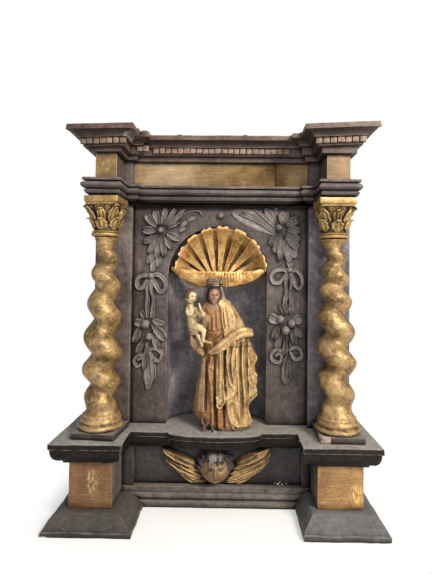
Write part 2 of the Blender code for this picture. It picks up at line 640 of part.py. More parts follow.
# each garland: its flower, knot and sheaf, and the tips of the leaves that spring from each, as (x, z);
# leaves are listed with their width
GARLANDS = {
    "left": dict(
        flower=(-0.153, 0.673), knot=(-0.176, 0.559), sheaf=(-0.181, 0.425), tail=(-0.184, 0.345),
        flower_leaves=[(-0.197, 0.706, 0.024), (-0.200, 0.676, 0.020), (-0.194, 0.648, 0.018),
                       (-0.174, 0.718, 0.020), (-0.126, 0.726, 0.022), (-0.096, 0.731, 0.015),
                       (-0.051, 0.716, 0.015), (-0.095, 0.690, 0.016), (-0.116, 0.655, 0.015),
                       (-0.139, 0.620, 0.017), (-0.156, 0.592, 0.018), (-0.189, 0.597, 0.024),
                       (-0.177, 0.562, 0.012)],
        loops=[(-0.2025, 0.541, 0.0105), (-0.1480, 0.538, 0.0140)],
        sheaf_leaves=[(-0.179, 0.556, 0.020), (-0.212, 0.442, 0.020), (-0.206, 0.398, 0.020),
                      (-0.141, 0.446, 0.020), (-0.138, 0.407, 0.018), (-0.153, 0.350, 0.020)],
        curls=[(-0.2040, 0.3430, 0.0085)], tail_leaves=[(-0.187, 0.276, 0.016), (-0.164, 0.298, 0.012)],
        buds=[(-0.184, 0.440)]),
    "right": dict(
        flower=(0.148, 0.673), knot=(0.174, 0.574), sheaf=(0.171, 0.430), tail=(0.175, 0.360),
        flower_leaves=[(0.156, 0.717, 0.024), (0.191, 0.711, 0.024), (0.194, 0.678, 0.020),
                       (0.192, 0.640, 0.020), (0.186, 0.600, 0.022), (0.146, 0.595, 0.018),
                       (0.129, 0.622, 0.016), (0.114, 0.646, 0.018), (0.087, 0.686, 0.028),
                       (0.052, 0.704, 0.026), (0.026, 0.720, 0.022), (0.118, 0.729, 0.022),
                       (0.175, 0.574, 0.012)],
        loops=[(0.1410, 0.556, 0.0135), (0.1985, 0.549, 0.0120)],
        sheaf_leaves=[(0.173, 0.571, 0.020), (0.132, 0.458, 0.020), (0.136, 0.418, 0.018),
                      (0.200, 0.460, 0.020), (0.208, 0.424, 0.018), (0.147, 0.386, 0.018)],
        curls=[(0.1440, 0.3600, 0.0085), (0.1990, 0.3660, 0.0085)],
        tail_leaves=[(0.166, 0.292, 0.014), (0.182, 0.309, 0.012)],
        buds=[(0.160, 0.446), (0.184, 0.440)]),
}
for name, g in GARLANDS.items():
    bm = bmesh.new()
    ball(bm, (g["flower"][0], BACK_OF_CARVING, g["flower"][1]), (0.0110, 0.0135, 0.0110),
         segments=7, rings=5)
    garland = add_part("garland_" + name, bm, dark_paint)
    bm = bmesh.new()
    for centre, tips in (("flower", "flower_leaves"), ("sheaf", "sheaf_leaves"), ("tail", "tail_leaves")):
        ball(bm, (g[centre][0], BACK_OF_CARVING, g[centre][1]), (0.0125, 0.0105, 0.0125), segments=5, rings=4)
        for k, (tip_x, tip_z, width) in enumerate(g[tips]):
            leaf(bm, g[centre], (tip_x, tip_z), width, 0.0080 + 0.0009 * (k % 3), BACK_OF_CARVING,
                 0.0020 + 0.0001 * k)
    leaf(bm, g["sheaf"], g["tail"], 0.022, 0.0075, BACK_OF_CARVING, 0.0042)
    for x, z in g["buds"]:
        ball(bm, (x, BACK_OF_CARVING - 0.004, z), (0.009, 0.009, 0.009), segments=6, rings=4)
    ball(bm, (g["knot"][0], BACK_OF_CARVING - 0.004, g["knot"][1]), (0.011, 0.010, 0.011),
         segments=6, rings=4)
    for x, z, radius in g["loops"]:
        ribbon_loop(bm, (x, z), radius, 0.0052)
        leaf(bm, g["knot"], (x, z + radius * 0.4), 0.012, 0.007, BACK_OF_CARVING, 0.0045 + radius * 0.02)
    for x, z, radius in g["curls"]:
        ribbon_loop(bm, (x, z), radius, 0.0042, sides=6)
        leaf(bm, g["tail"], (x, z), 0.010, 0.006, BACK_OF_CARVING, 0.0035 + abs(x) * 0.001)
    boolean(garland, add_part("garland_leaves_" + name, bm, dark_paint), "UNION")
    trim = bmesh.new()
    box(trim, (-0.25, 0.25), (BACK_OF_CARVING, BACK_OF_CARVING + 0.05), (0.2, 0.8))
    boolean(garland, add_part("garland_back_" + name, trim, dark_paint), "DIFFERENCE")
    dissolve_flats(garland)

bm = bmesh.new()
bmesh.ops.create_uvsphere(bm, u_segments=8, v_segments=6, radius=0.0075,
                          matrix=Matrix.Translation((-0.004, BACK_OF_CARVING, 0.710)))
bmesh.ops.bisect_plane(bm, geom=bm.verts[:] + bm.edges[:] + bm.faces[:],
                       plane_co=(0, BACK_OF_CARVING, 0), plane_no=(0, 1, 0), clear_outer=True)
bmesh.ops.holes_fill(bm, edges=[e for e in bm.edges if e.is_boundary])
add_part("boss", bm, dark_paint)

# ---------------------------------------------------------------- cherub
CHERUB_Y = Y_DADO_MIDDLE - GAP
CHERUB_X = -0.003
bm = bmesh.new()
ball(bm, (CHERUB_X, CHERUB_Y - 0.018, 0.094), (0.030, 0.028, 0.036), segments=10, rings=8)
cherub = add_part("cherub", bm, gilding, smooth=True)
bm = bmesh.new()
ball(bm, (CHERUB_X, CHERUB_Y - 0.016, 0.112), (0.038, 0.030, 0.026), segments=8, rings=5)
ball(bm, (CHERUB_X, CHERUB_Y - 0.045, 0.089), (0.0060, 0.0080, 0.0085), segments=6, rings=4)
ball(bm, (CHERUB_X, CHERUB_Y - 0.038, 0.070), (0.0130, 0.0090, 0.0090), segments=8, rings=5)
for side in (-1, 1):
    ball(bm, (CHERUB_X + side * 0.034, CHERUB_Y - 0.010, 0.098), (0.010, 0.016, 0.030), segments=8, rings=5)
    for k in range(4):
        root_point = (CHERUB_X + side * (0.016 + 0.001 * k), 0.074 + 0.0065 * k)
        tip_point = (CHERUB_X + side * (0.080 + 0.0170 * k), 0.063 + 0.0225 * k)
        leaf(bm, root_point, tip_point, 0.026, 0.0120 + 0.0012 * k, CHERUB_Y, 0.0020 + 0.0002 * k)
boolean(cherub, add_part("cherub_wings", bm, gilding), "UNION")
trim = bmesh.new()
box(trim, (-0.2, 0.2), (CHERUB_Y, CHERUB_Y + 0.05), (0.0, 0.2))
boolean(cherub, add_part("cherub_back", trim, gilding), "DIFFERENCE")
dissolve_flats(cherub)

# ---------------------------------------------------------------- statue
# sections of the draped body: height over the base, left edge, right edge, half depth
BODY = [(0.000, -0.036, 0.062, 0.027), (0.014, -0.045, 0.083, 0.031), (0.042, -0.060, 0.077, 0.031),
        (0.082, -0.056, 0.094, 0.032), (0.120, -0.051, 0.093, 0.032), (0.165, -0.044, 0.089, 0.031),
        (0.212, -0.060, 0.072, 0.029), (0.240, -0.052, 0.061, 0.027), (0.264, -0.047, 0.052, 0.025),
        (0.284, -0.044, 0.040, 0.022), (0.298, -0.030, 0.026, 0.017), (0.308, -0.024, 0.006, 0.012)]
BODY_SIDES = 21
FOLDS = 7


def at(x, y, height):
    """A point on the statue: x across, y behind its middle plane, height over its base."""
    return Vector((x, STATUE_Y + y, STATUE_BASE + height))


FOLD_DEPTH = 0.0052      # of the skirt's folds at the hem; they die out at the waist
WAIST = 0.225

bm = bmesh.new()
rings = []
for height, left_x, right_x, depth in BODY:
    ring = []
    fold = FOLD_DEPTH * max(0.0, 1 - height / WAIST) ** 0.5
    for k in range(BODY_SIDES):
        a = 2 * pi * k / BODY_SIDES
        wave = fold * (cos(FOLDS * a + 5.0 * height) - 0.6)
        ring.append(at((left_x + right_x) / 2 + ((right_x - left_x) / 2 + wave) * cos(a),
                       (depth + 1.5 * wave) * sin(a), height))
    rings.append(ring)
loft(bm, rings)
statue = add_part("statue", bm, gilding)

# each limb or roll of cloth: its path as (x, y, height) and its radius at each point
LIMBS = [
    # neck, then the mantle over her left shoulder, the rolled fold across the waist and its hanging end
    ([(-0.014, -0.002, 0.290), (-0.015, -0.003, 0.314)], [0.0110, 0.0100]),
    ([(-0.006, 0.006, 0.334), (0.012, 0.004, 0.318), (0.034, 0.000, 0.284), (0.056, -0.004, 0.246),
      (0.066, -0.006, 0.222)], [0.0110, 0.0150, 0.0160, 0.0150, 0.0150]),
    ([(0.074, -0.006, 0.230), (0.050, -0.022, 0.229), (0.022, -0.030, 0.210), (-0.004, -0.030, 0.192),
      (-0.024, -0.024, 0.182)], [0.0120, 0.0125, 0.0120, 0.0110, 0.0070]),
    ([(0.006, -0.028, 0.200), (0.003, -0.033, 0.140), (0.010, -0.034, 0.092), (0.011, -0.030, 0.056)],
     [0.0130, 0.0130, 0.0170, 0.0060]),
    ([(0.012, -0.031, 0.110), (0.030, -0.028, 0.092), (0.040, -0.024, 0.080)], [0.0120, 0.0110, 0.0040]),
    # her right sleeve and forearm under the Child
    ([(-0.034, 0.000, 0.282), (-0.050, -0.008, 0.246), (-0.060, -0.018, 0.222)], [0.0120, 0.0140, 0.0130]),
    # the Child: neck and trunk, both legs, the raised arm
    ([(-0.074, -0.023, 0.306), (-0.072, -0.022, 0.286), (-0.070, -0.022, 0.258), (-0.067, -0.022, 0.226)],
     [0.0080, 0.0140, 0.0140, 0.0165]),
    ([(-0.066, -0.024, 0.238), (-0.048, -0.036, 0.243), (-0.038, -0.040, 0.224), (-0.035, -0.040, 0.204)],
     [0.0130, 0.0110, 0.0080, 0.0050]),
    ([(-0.068, -0.026, 0.230), (-0.054, -0.040, 0.226), (-0.048, -0.042, 0.206), (-0.038, -0.046, 0.198)],
     [0.0120, 0.0095, 0.0065, 0.0045]),
    ([(-0.066, -0.024, 0.288), (-0.051, -0.030, 0.272), (-0.044, -0.034, 0.297)], [0.0085, 0.0070, 0.0045]),
]
bm = bmesh.new()
ball(bm, at(-0.015, -0.006, 0.322), (0.0165, 0.018, 0.0220), segments=9, rings=6)
ball(bm, at(-0.015, 0.004, 0.321), (0.0215, 0.018, 0.0215), segments=8, rings=5)
ball(bm, at(-0.077, -0.024, 0.318), (0.0150, 0.0160, 0.0175), segments=8, rings=6)
ball(bm, at(-0.060, -0.012, 0.210), (0.0200, 0.0210, 0.0260), segments=8, rings=5)
ball(bm, at(-0.020, -0.026, 0.006), (0.0160, 0.0170, 0.0100), segments=7, rings=5)
for path, radii in LIMBS:
    limb(bm, [at(*point) for point in path], radii)
boolean(statue, add_part("statue_detail", bm, gilding), "UNION")
trim = bmesh.new()
box(trim, (-0.2, 0.2), (-0.1, 0.1), (STATUE_BASE - 0.05, STATUE_BASE))
boolean(statue, add_part("statue_foot", trim, gilding), "DIFFERENCE")
dissolve_flats(statue)

# crown: an open band with eight points that sits round the head
CROWN_SIDES = 12
bm = bmesh.new()
crown_middle = at(-0.010, -0.001, 0.3455)
rings = []
for radius, height, is_outer in ((0.0155, 0.0, 1), (0.0165, 0.005, 1), (0.0195, 0.013, 1),
                                 (0.0180, 0.013, 0), (0.0150, 0.005, 0), (0.0140, 0.0, 0)):
    ring = []
    for k in range(CROWN_SIDES):
        a = 2 * pi * k / CROWN_SIDES
        point_rise = 0.004 if height > 0.01 and k % 2 == 0 else 0.0
        place = Vector((radius * cos(a), radius * sin(a), height + point_rise))
        ring.append(bm.verts.new(crown_middle + place))
    rings.append(ring)
for low, high in zip(rings, rings[1:] + rings[:1]):
    for k in range(CROWN_SIDES):
        j = (k + 1) % CROWN_SIDES
        bm.faces.new((low[k], low[j], high[j], high[k]))
add_part("crown", bm, silver)
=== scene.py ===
"""Looks of a painted and gilt wooden niche: an aedicule of dark boards and mouldings with twisted gilt
columns, a shell hood, carved garlands, a cherub's head and a statue. Metres, +Z up, the front faces -Y.
"""

from math import asin, atan2, cos, exp, pi, radians, sin

import bmesh
import bpy
import numpy as np
from mathutils import Matrix, Vector, noise
from mathutils.kdtree import KDTree


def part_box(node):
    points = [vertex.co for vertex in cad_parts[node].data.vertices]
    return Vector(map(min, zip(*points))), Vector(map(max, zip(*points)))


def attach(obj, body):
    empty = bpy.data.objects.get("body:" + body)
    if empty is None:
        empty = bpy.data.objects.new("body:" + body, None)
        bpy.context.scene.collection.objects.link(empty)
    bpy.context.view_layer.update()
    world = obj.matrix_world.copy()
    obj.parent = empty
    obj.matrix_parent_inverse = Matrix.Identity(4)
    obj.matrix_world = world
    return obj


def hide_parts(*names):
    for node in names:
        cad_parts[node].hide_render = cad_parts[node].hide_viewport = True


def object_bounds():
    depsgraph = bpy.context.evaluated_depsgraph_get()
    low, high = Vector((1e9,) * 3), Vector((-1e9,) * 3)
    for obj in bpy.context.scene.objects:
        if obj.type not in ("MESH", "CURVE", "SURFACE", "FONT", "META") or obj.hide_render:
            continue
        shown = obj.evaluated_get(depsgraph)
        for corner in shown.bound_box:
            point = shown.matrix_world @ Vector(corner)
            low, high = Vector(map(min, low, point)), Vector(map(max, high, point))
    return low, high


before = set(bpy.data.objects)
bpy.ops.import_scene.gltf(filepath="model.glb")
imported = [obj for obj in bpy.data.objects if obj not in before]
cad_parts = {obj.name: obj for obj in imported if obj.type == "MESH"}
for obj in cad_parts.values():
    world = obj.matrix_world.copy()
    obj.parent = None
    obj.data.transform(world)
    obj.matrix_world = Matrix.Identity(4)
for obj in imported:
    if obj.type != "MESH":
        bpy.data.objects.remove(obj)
cad_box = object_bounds()

# ---------------------------------------------------------------- camera, light and floor
# The niche stands on a pale plastered floor in a bright, plain room. Daylight comes in softly from
# high on the right, so that what faces left falls into shade.
scene = bpy.context.scene
scene.view_settings.view_transform = "Standard"

camera_data = bpy.data.cameras.new("camera")
camera = bpy.data.objects.new("camera", camera_data)
scene.collection.objects.link(camera)
camera.location = (0.0277, -1.0663, 0.5527)
camera.rotation_euler = (radians(91.7706), radians(-0.6643), radians(0.5868))
camera_data.sensor_width = 36.0
camera_data.lens = 26.97
camera_data.shift_x = -0.0182
camera_data.shift_y = -0.0365
scene.camera = camera


def wire(tree, made, inputs):
    """Sets or links the inputs of a node, by name or number."""
    for key, value in inputs.items():
        if isinstance(value, bpy.types.NodeSocket):
            tree.links.new(value, made.inputs[key])
        else:
            made.inputs[key].default_value = value


def node(tree, kind, inputs=None, **settings):
    """Adds a shader node with its settings and inputs."""
    made = tree.nodes.new("ShaderNode" + kind)
    for key, value in settings.items():
        setattr(made, key, value)
    wire(tree, made, inputs or {})
    return made


def blank_finish(name):
    """A new material, its node tree, its surface, and the place of a point on the object."""
    material = bpy.data.materials.new(name)
    material.use_nodes = True
    tree = material.node_tree
    return material, tree, tree.nodes["Principled BSDF"], node(tree, "TexCoord").outputs["Object"]


def linear(hex_colour):
    """A colour written as sRGB hex, turned to the linear values that a shader takes."""
    channels = [int(hex_colour[k:k + 2], 16) / 255 for k in (1, 3, 5)]
    return tuple(c / 12.92 if c <= 0.04045 else ((c + 0.055) / 1.055) ** 2.4 for c in channels) + (1.0,)


world = bpy.data.worlds.new("bright_room")
scene.world = world
world.use_nodes = True
tree = world.node_tree
tree.nodes.clear()
SKY_SEEN = 1.0
SKY_LIGHT = 0.52
seen = node(tree, "Background", {"Color": linear("#ffffff"), "Strength": SKY_SEEN})
lit = node(tree, "Background", {"Color": linear("#f4f7fc"), "Strength": SKY_LIGHT})
path = node(tree, "LightPath")
mixed = node(tree, "MixShader", {0: path.outputs["Is Camera Ray"], 1: lit.outputs[0], 2: seen.outputs[0]})
node(tree, "OutputWorld", {"Surface": mixed.outputs[0]})

# each lamp: where it stands, its width, its power in watts and its colour
LAMPS = {
    "window": ((1.40, -1.78, 1.75), 0.7, 82.0, "#fff4e4"),
    "fill": ((0.7, -2.3, 0.8), 1.6, 14.0, "#e6efff"),
    "above": ((0.1, -0.5, 2.2), 1.2, 12.0, "#ffffff"),
}
AIM = Vector((0.0, 0.0, 0.45))
for name, (place, width, power, colour) in LAMPS.items():
    lamp_data = bpy.data.lights.new(name, "AREA")
    lamp_data.shape = "SQUARE"
    lamp_data.size = width
    lamp_data.energy = power
    lamp_data.color = linear(colour)[:3]
    lamp = bpy.data.objects.new(name, lamp_data)
    scene.collection.objects.link(lamp)
    lamp.location = place
    lamp.rotation_euler = (AIM - Vector(place)).to_track_quat("-Z", "Y").to_euler()

bm = bmesh.new()
bmesh.ops.create_grid(bm, x_segments=2, y_segments=2, size=40.0, matrix=Matrix.Translation((0, 0, -0.0006)))
floor_mesh = bpy.data.meshes.new("floor")
bm.to_mesh(floor_mesh)
floor_piece = bpy.data.objects.new("floor", floor_mesh)
scene.collection.objects.link(floor_piece)
# fine white plaster: a matt, faintly clouded surface; away from the object it glows white to the camera and
# so runs into the white of the room
plaster, tree, surface, ground = blank_finish("white_plaster_floor")
clouds = node(tree, "TexNoise", {"Scale": 3.0, "Detail": 4.0})
tone = node(tree, "ValToRGB", {"Fac": clouds.outputs["Fac"]})
for stop, share, colour in zip(tone.color_ramp.elements, (0.3, 0.7), ("#f3f2f0", "#fbfbfa")):
    stop.position = share
    stop.color = linear(colour)
wire(tree, surface, {"Base Color": tone.outputs["Color"], "Roughness": 0.9, "Specular IOR Level": 0.2})
# how far a spot of floor lies outside the foot of the object: the floor glows white to the camera, a third of
# the way at the foot and fully from 7.5 cm out, painted light that washes out the object's cast shadow
folded = node(tree, "VectorMath", {0: ground}, operation="ABSOLUTE")
beyond = node(tree, "VectorMath", {0: folded.outputs[0], 1: tuple(cad_box[1])}, operation="SUBTRACT")
beyond = node(tree, "VectorMath", {0: beyond.outputs[0], 1: (0.0, 0.0, 0.0)}, operation="MAXIMUM")
away = node(tree, "VectorMath", {0: beyond.outputs[0]}, operation="LENGTH")
shadow_washing_glow = node(tree, "MapRange", {"Value": away.outputs["Value"], "From Min": -0.05, "From Max": 0.075},
            interpolation_type="SMOOTHSTEP")
seen_here = node(tree, "LightPath")
bright = node(tree, "Math", {0: shadow_washing_glow.outputs[0], 1: seen_here.outputs["Is Camera Ray"]},
              operation="MULTIPLY")
white_glow = node(tree, "Emission", {"Color": linear("#ffffff"), "Strength": 1.0})
blended = node(tree, "MixShader", {0: bright.outputs[0], 1: surface.outputs[0], 2: white_glow.outputs[0]})
wire(tree, tree.nodes["Material Output"], {"Surface": blended.outputs[0]})
floor_mesh.materials.append(plaster)

# ---------------------------------------------------------------- feet and the base moulding
# Two flared feet carry the wings and a run of moulding joins them under the niche. All three are
# softwood, planed and mitred by hand, painted brown-black; the paint is dusty and rubbed on its arrises.
TOE = -0.140                     # how far the feet come forward
DADO_FRONT = -0.095              # face of the pedestals over them
MIDDLE = 0.009                   # face of the dado board and the frieze between the wings
CASE_BACK = 0.140
DADO = {"left": (0.2325, 0.3295), "right": (0.2255, 0.3275)}     # inner and outer side of each pedestal


def dense(root, lip, step=0.010):
    """Adds points along two plans that belong together, so that no stretch is longer than step."""
    pairs = list(zip(root, lip))
    fine = []
    for (a, b), (c, d) in zip(pairs, pairs[1:] + pairs[:1]):
        longest = max((Vector(c) - Vector(a)).length, (Vector(d) - Vector(b)).length)
        count = max(1, round(longest / step))
        for k in range(count):
            fine.append((Vector(a).lerp(Vector(c), k / count), Vector(b).lerp(Vector(d), k / count)))
    return fine


def grow(bm, edges):
    """Pulls a new row off a ring of edges: the vertices of the row, and its edges."""
    made = bmesh.ops.extrude_edge_only(bm, edges=edges)["geom"]
    row = [g for g in made if isinstance(g, bmesh.types.BMVert)]
    return row, [g for g in made if isinstance(g, bmesh.types.BMEdge) and len(g.link_faces) == 1]


def cap(bm, *rims):
    """Closes each ring of edges with a face."""
    for rim in rims:
        bmesh.ops.contextual_create(bm, geom=rim)


def moulding(bm, root, lip, profile, lift=None, step=0.010):
    """Runs a profile round a plan: each (out, z) lies between the root plan (0) and the lip plan (1)."""
    pairs = dense(root, lip, step)

    def place(pair, out, z):
        x, y = pair[0].lerp(pair[1], out)
        return Vector((x, y, z + (lift(x, y, z) if lift else 0.0)))

    row = [bm.verts.new(place(pair, *profile[0])) for pair in pairs]
    edges = [bm.edges.new((a, b)) for a, b in zip(row, row[1:] + row[:1])]
    bottom = list(edges)
    for out, z in profile[1:]:
        row, edges = grow(bm, edges)
        for vert, pair in zip(row, pairs):
            vert.co = place(pair, out, z)
    cap(bm, bottom, edges)


def face_outward(bm):
    """Turns every face of a closed skin outward."""
    bmesh.ops.recalc_face_normals(bm, faces=bm.faces[:])


def soften(bm, width, angle=28.0, segments=2):
    """Rubs the arrises down: bevels every edge that is sharper than the angle."""
    sharp = [e for e in bm.edges if len(e.link_faces) == 2 and e.calc_face_angle() > radians(angle)]
    bmesh.ops.bevel(bm, geom=sharp, offset=width, offset_type="OFFSET", affect="EDGES",
                    segments=segments, profile=0.5, material=-1, clamp_overlap=True)


def weather(bm, amount, size, seed=0.0):
    """Moves the surface a little by smooth noise, as hand planing and old wood leave it."""
    for vert in bm.verts:
        vert.co += noise.noise_vector(vert.co / size + Vector((seed, seed, seed))) * amount


FAR = 1000.0                     # stands for no limit on that side


def hold(bm, **limits):
    """Keeps every vertex between a low and a high limit on each axis that is named."""
    for vert in bm.verts:
        for axis, (low, high) in limits.items():
            setattr(vert.co, axis, min(max(getattr(vert.co, axis), low), high))


def piece(name, bm, material, replaced=(), smooth=40.0):
    """Makes the finished object, shades it round up to an angle, and hides the imported parts that it
    replaces.
    """
    hold(bm, **dict(zip("xyz", zip(*cad_box))))      # nothing stands outside the object's own box
    face_outward(bm)
    mesh = bpy.data.meshes.new(name)
    bm.to_mesh(mesh)
    bm.free()
    mesh.shade_smooth()
    mesh.set_sharp_from_angle(angle=radians(smooth))
    made = bpy.data.objects.new(name, mesh)
    scene.collection.objects.link(made)
    mesh.materials.append(material)
    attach(made, "root")
    if replaced:
        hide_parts(*replaced)
    return made


def grainy(tree, place, scale, detail, roughness=0.5):
    """Cloudy noise over a place."""
    look = {"Vector": place, "Scale": scale, "Detail": detail, "Roughness": roughness}
    return node(tree, "TexNoise", look).outputs["Fac"]


def ramp(tree, value, low, high, start=0.0, end=1.0):
    """Turns a value between two limits into one from start to end, and holds it beyond them."""
    limits = {"Value": value, "From Min": low, "From Max": high, "To Min": start, "To Max": end}
    return node(tree, "MapRange", limits).outputs[0]


def reckon(tree, operation, value, *others, **settings):
    """Adds, multiplies or compares numbers, one after another."""
    for other in others:
        value = node(tree, "Math", {0: value, 1: other}, operation=operation, **settings).outputs[0]
    return value


def toned(tree, colour, amount):
    """A colour times an amount."""
    return node(tree, "VectorMath", {0: colour, 1: amount}, operation="MULTIPLY").outputs[0]


def blend(tree, share, first, second):
    """Goes from one colour to another; each is written in hex or comes from a node."""
    first, second = [linear(c) if isinstance(c, str) else c for c in (first, second)]
    return node(tree, "Mix", {"Factor": share, "A": first, "B": second}, data_type="RGBA").outputs["Result"]


def stretched(tree, place, scale):
    """A place drawn out or squeezed along each axis."""
    return node(tree, "Mapping", {"Vector": place, "Scale": scale}).outputs[0]


def arris(tree, radius, square, rounded_off, most=1.0):
    """Finds worn edges: there a rounded normal leaves the true one."""
    rounded = node(tree, "Bevel", {"Radius": radius}, samples=4).outputs[0]
    true = node(tree, "NewGeometry").outputs["Normal"]
    leaving = node(tree, "VectorMath", {0: rounded, 1: true}, operation="DOT_PRODUCT").outputs["Value"]
    return ramp(tree, leaving, square, rounded_off, 0.0, most)


def openness(tree, distance, samples):
    """1 where the surface stands open, less in corners and hollows."""
    return node(tree, "AmbientOcclusion", {"Distance": distance}, samples=samples).outputs["AO"]


def bumps(tree, height, distance, strength=0.5):
    """A normal roughened by a height."""
    return node(tree, "Bump", {"Height": height, "Distance": distance, "Strength": strength}).outputs[0]


def aged_paint(name, deep, faded, dusty, grain, edge_wear=0.55, dust=0.8, bare="#8f7a66", pale_specks=0.5,
               specular=0.3, hollow_shade=0.04):
    """Brown-black oil paint on softwood: clouded, finely crackled, dusty on top, worn on edges."""
    material, t, surface, place = blank_finish(name)
    # clouds some 90 mm across, then mottling some 12 mm across
    clouds = grainy(t, place, 11.0, 5.0, 0.62)
    mottle = grainy(t, place, 85.0, 7.0, 0.7)
    colour = blend(t, ramp(t, clouds, 0.33, 0.68), deep, faded)
    colour = toned(t, colour, ramp(t, mottle, 0.3, 0.7, 0.48, 1.48))
    # brush and grain lines run along the board, one every 1.5 mm or so
    lines = grainy(t, stretched(t, place, grain), 1.0, 5.0, 0.6)
    colour = toned(t, colour, ramp(t, lines, 0.3, 0.7, 0.86, 1.14))
    # crackle in islands 7 mm across, drawn a little coarser than the real hairlines so that it shows
    crackle = node(t, "TexVoronoi", {"Vector": place, "Scale": 140.0}, feature="DISTANCE_TO_EDGE")
    cracks = ramp(t, crackle.outputs["Distance"], 0.0, 0.07, 0.72, 1.0)
    colour = toned(t, colour, cracks)
    # pale specks where the paint has flaked to the ground, 1 to 3 mm across
    flakes = grainy(t, place, 260.0, 3.0, 0.65)
    colour = blend(t, ramp(t, flakes, 0.66, 0.74, 0.0, pale_specks), colour, "#9b8f86")
    # rubbed arrises, in patches, and only where the surface stands open
    free = openness(t, 0.012, 6)
    patches = ramp(t, grainy(t, place, 38.0, 6.0, 0.7), 0.41, 0.59)
    worn = reckon(t, "MULTIPLY", arris(t, 0.0028, 0.995, 0.90), ramp(t, free, 0.60, 0.92), patches,
                  edge_wear)
    colour = blend(t, worn, colour, bare)
    # painted shade in the hollows and on undersides, dust on what faces up
    facing = node(t, "SeparateXYZ", {0: node(t, "NewGeometry").outputs["Normal"]}).outputs["Z"]
    under = ramp(t, facing, -0.75, -0.05, 0.35, 1.0)
    colour = toned(t, colour, reckon(t, "MULTIPLY", ramp(t, free, 0.42, 0.96, hollow_shade, 1.10), under))
    drifts = ramp(t, mottle, 0.25, 0.6, 0.45, 1.0)
    dusting = reckon(t, "MULTIPLY", ramp(t, facing, 0.25, 0.95), drifts, dust)
    gloss = ramp(t, clouds, 0.35, 0.65, 0.30, 0.50)
    matt = reckon(t, "ADD", gloss, dusting, use_clamp=True)
    relief = reckon(t, "ADD", mottle, lines, cracks)
    wire(t, surface, {"Base Color": blend(t, dusting, colour, dusty), "Roughness": matt, "IOR": 1.5,
                      "Specular IOR Level": specular, "Normal": bumps(t, relief, 0.0011, 0.65)})
    return material


ALONG_X = (9.0, 330.0, 330.0)    # grain scale for a member that runs across
UPRIGHT = (330.0, 330.0, 9.0)    # and for one that stands
brown_foot_paint = aged_paint("dusty_brown_black_foot_paint", "#211b19", "#3f3833", "#5f5a55", ALONG_X,
                              dust=0.6, edge_wear=1.0, bare="#a8a29b")
grey_foot_paint = aged_paint("dusty_grey_black_foot_paint", "#2a2727", "#514f4f", "#787877", ALONG_X,
                             dust=0.6, edge_wear=1.0, bare="#a8a29b")
base_paint = aged_paint("grey_black_base_paint", "#383230", "#686058", "#8a857e", ALONG_X, dust=0.6,
                        edge_wear=0.8)

# a toe, a small step, then a flare that turns in faster as it rises: (out, share of the height)
TOE_SHARE = 0.27
flare = [(1.0, 0.0), (1.0, TOE_SHARE - 0.05), (0.985, TOE_SHARE - 0.02)]
for k in range(11):
    t = k / 10
    flare.append((0.945 - 0.565 * t ** 1.6, TOE_SHARE + (0.985 - TOE_SHARE) * t))
flare.append((0.0, 1.0))
FEET = {
    "base_left": dict(side=-1, foot=(0.1790, 0.3740), dado=DADO["left"], top=0.0375, seed=1.0,
                      paint=brown_foot_paint),
    "base_right": dict(side=1, foot=(0.1888, 0.3737), dado=DADO["right"], top=0.0445, seed=5.0,
                       paint=grey_foot_paint),
}
return_y = -0.0135               # the feet turn back to here beside the run between them
for name, foot in FEET.items():
    (foot_in, foot_out), (dado_in, dado_out) = foot["foot"], foot["dado"]
    lip = [(foot_out, CASE_BACK), (foot_out, TOE), (foot_in, TOE), (foot_in, return_y),
           (dado_in, return_y), (dado_in, CASE_BACK)]
    root = [(dado_out, CASE_BACK), (dado_out, DADO_FRONT), (dado_in, DADO_FRONT), (dado_in, return_y),
            (dado_in, return_y), (dado_in, CASE_BACK)]
    bm = bmesh.new()
    moulding(bm, [(foot["side"] * x, y) for x, y in root], [(foot["side"] * x, y) for x, y in lip],
             [(out, share * foot["top"]) for out, share in flare])
    bmesh.ops.remove_doubles(bm, verts=bm.verts[:], dist=0.00005)
    bmesh.ops.dissolve_degenerate(bm, edges=bm.edges[:], dist=0.00005)
    soften(bm, 0.0009)
    # the undersides are chewed and uneven where they stand on the floor
    for vert in bm.verts:
        low = max(0.0, 1 - vert.co.z / 0.012)
        bite = noise.noise(vert.co * 120 + Vector((foot["seed"], 0, 0)))
        vert.co.z += low * max(0.0, bite) * 0.0060
    weather(bm, 0.0018, 0.030, foot["seed"])
    weather(bm, 0.0008, 0.009, foot["seed"])
    hold(bm, y=(TOE, FAR), z=(0.0, FAR))
    piece(name + "_foot", bm, foot["paint"], [name])

# the run between the feet: (y of the face, z), from the floor up: toe, ovolo, hollow, ovolo, fillet
BASE_TOP = 0.0480
course = [(-0.0110, 0.0), (-0.0110, 0.0040), (-0.0130, 0.0052), (-0.0130, 0.0125)]
course += [(-0.0130 + 0.0075 * sin(pi / 2 * k / 4), 0.0132 + 0.0030 * k / 4) for k in range(5)]
course += [(-0.0058 - 0.0040 * sin(pi * k / 8), 0.0168 + 0.0165 * k / 8) for k in range(9)]
course += [(-0.0040, 0.0350), (-0.0072, 0.0362), (-0.0072, BASE_TOP)]
end_left, end_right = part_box("base_centre")[0].x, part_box("base_centre")[1].x
bm = bmesh.new()
moulding(bm, [(end_left, CASE_BACK), (end_left, 0.0), (end_right, 0.0), (end_right, CASE_BACK)],
         [(end_left, CASE_BACK), (end_left, -1.0), (end_right, -1.0), (end_right, CASE_BACK)],
         [(-y, z) for y, z in course])
soften(bm, 0.0006)
weather(bm, 0.0006, 0.05, 9.0)
hold(bm, z=(0.0, FAR))
piece("base_moulding", bm, base_paint, ["base_centre"])

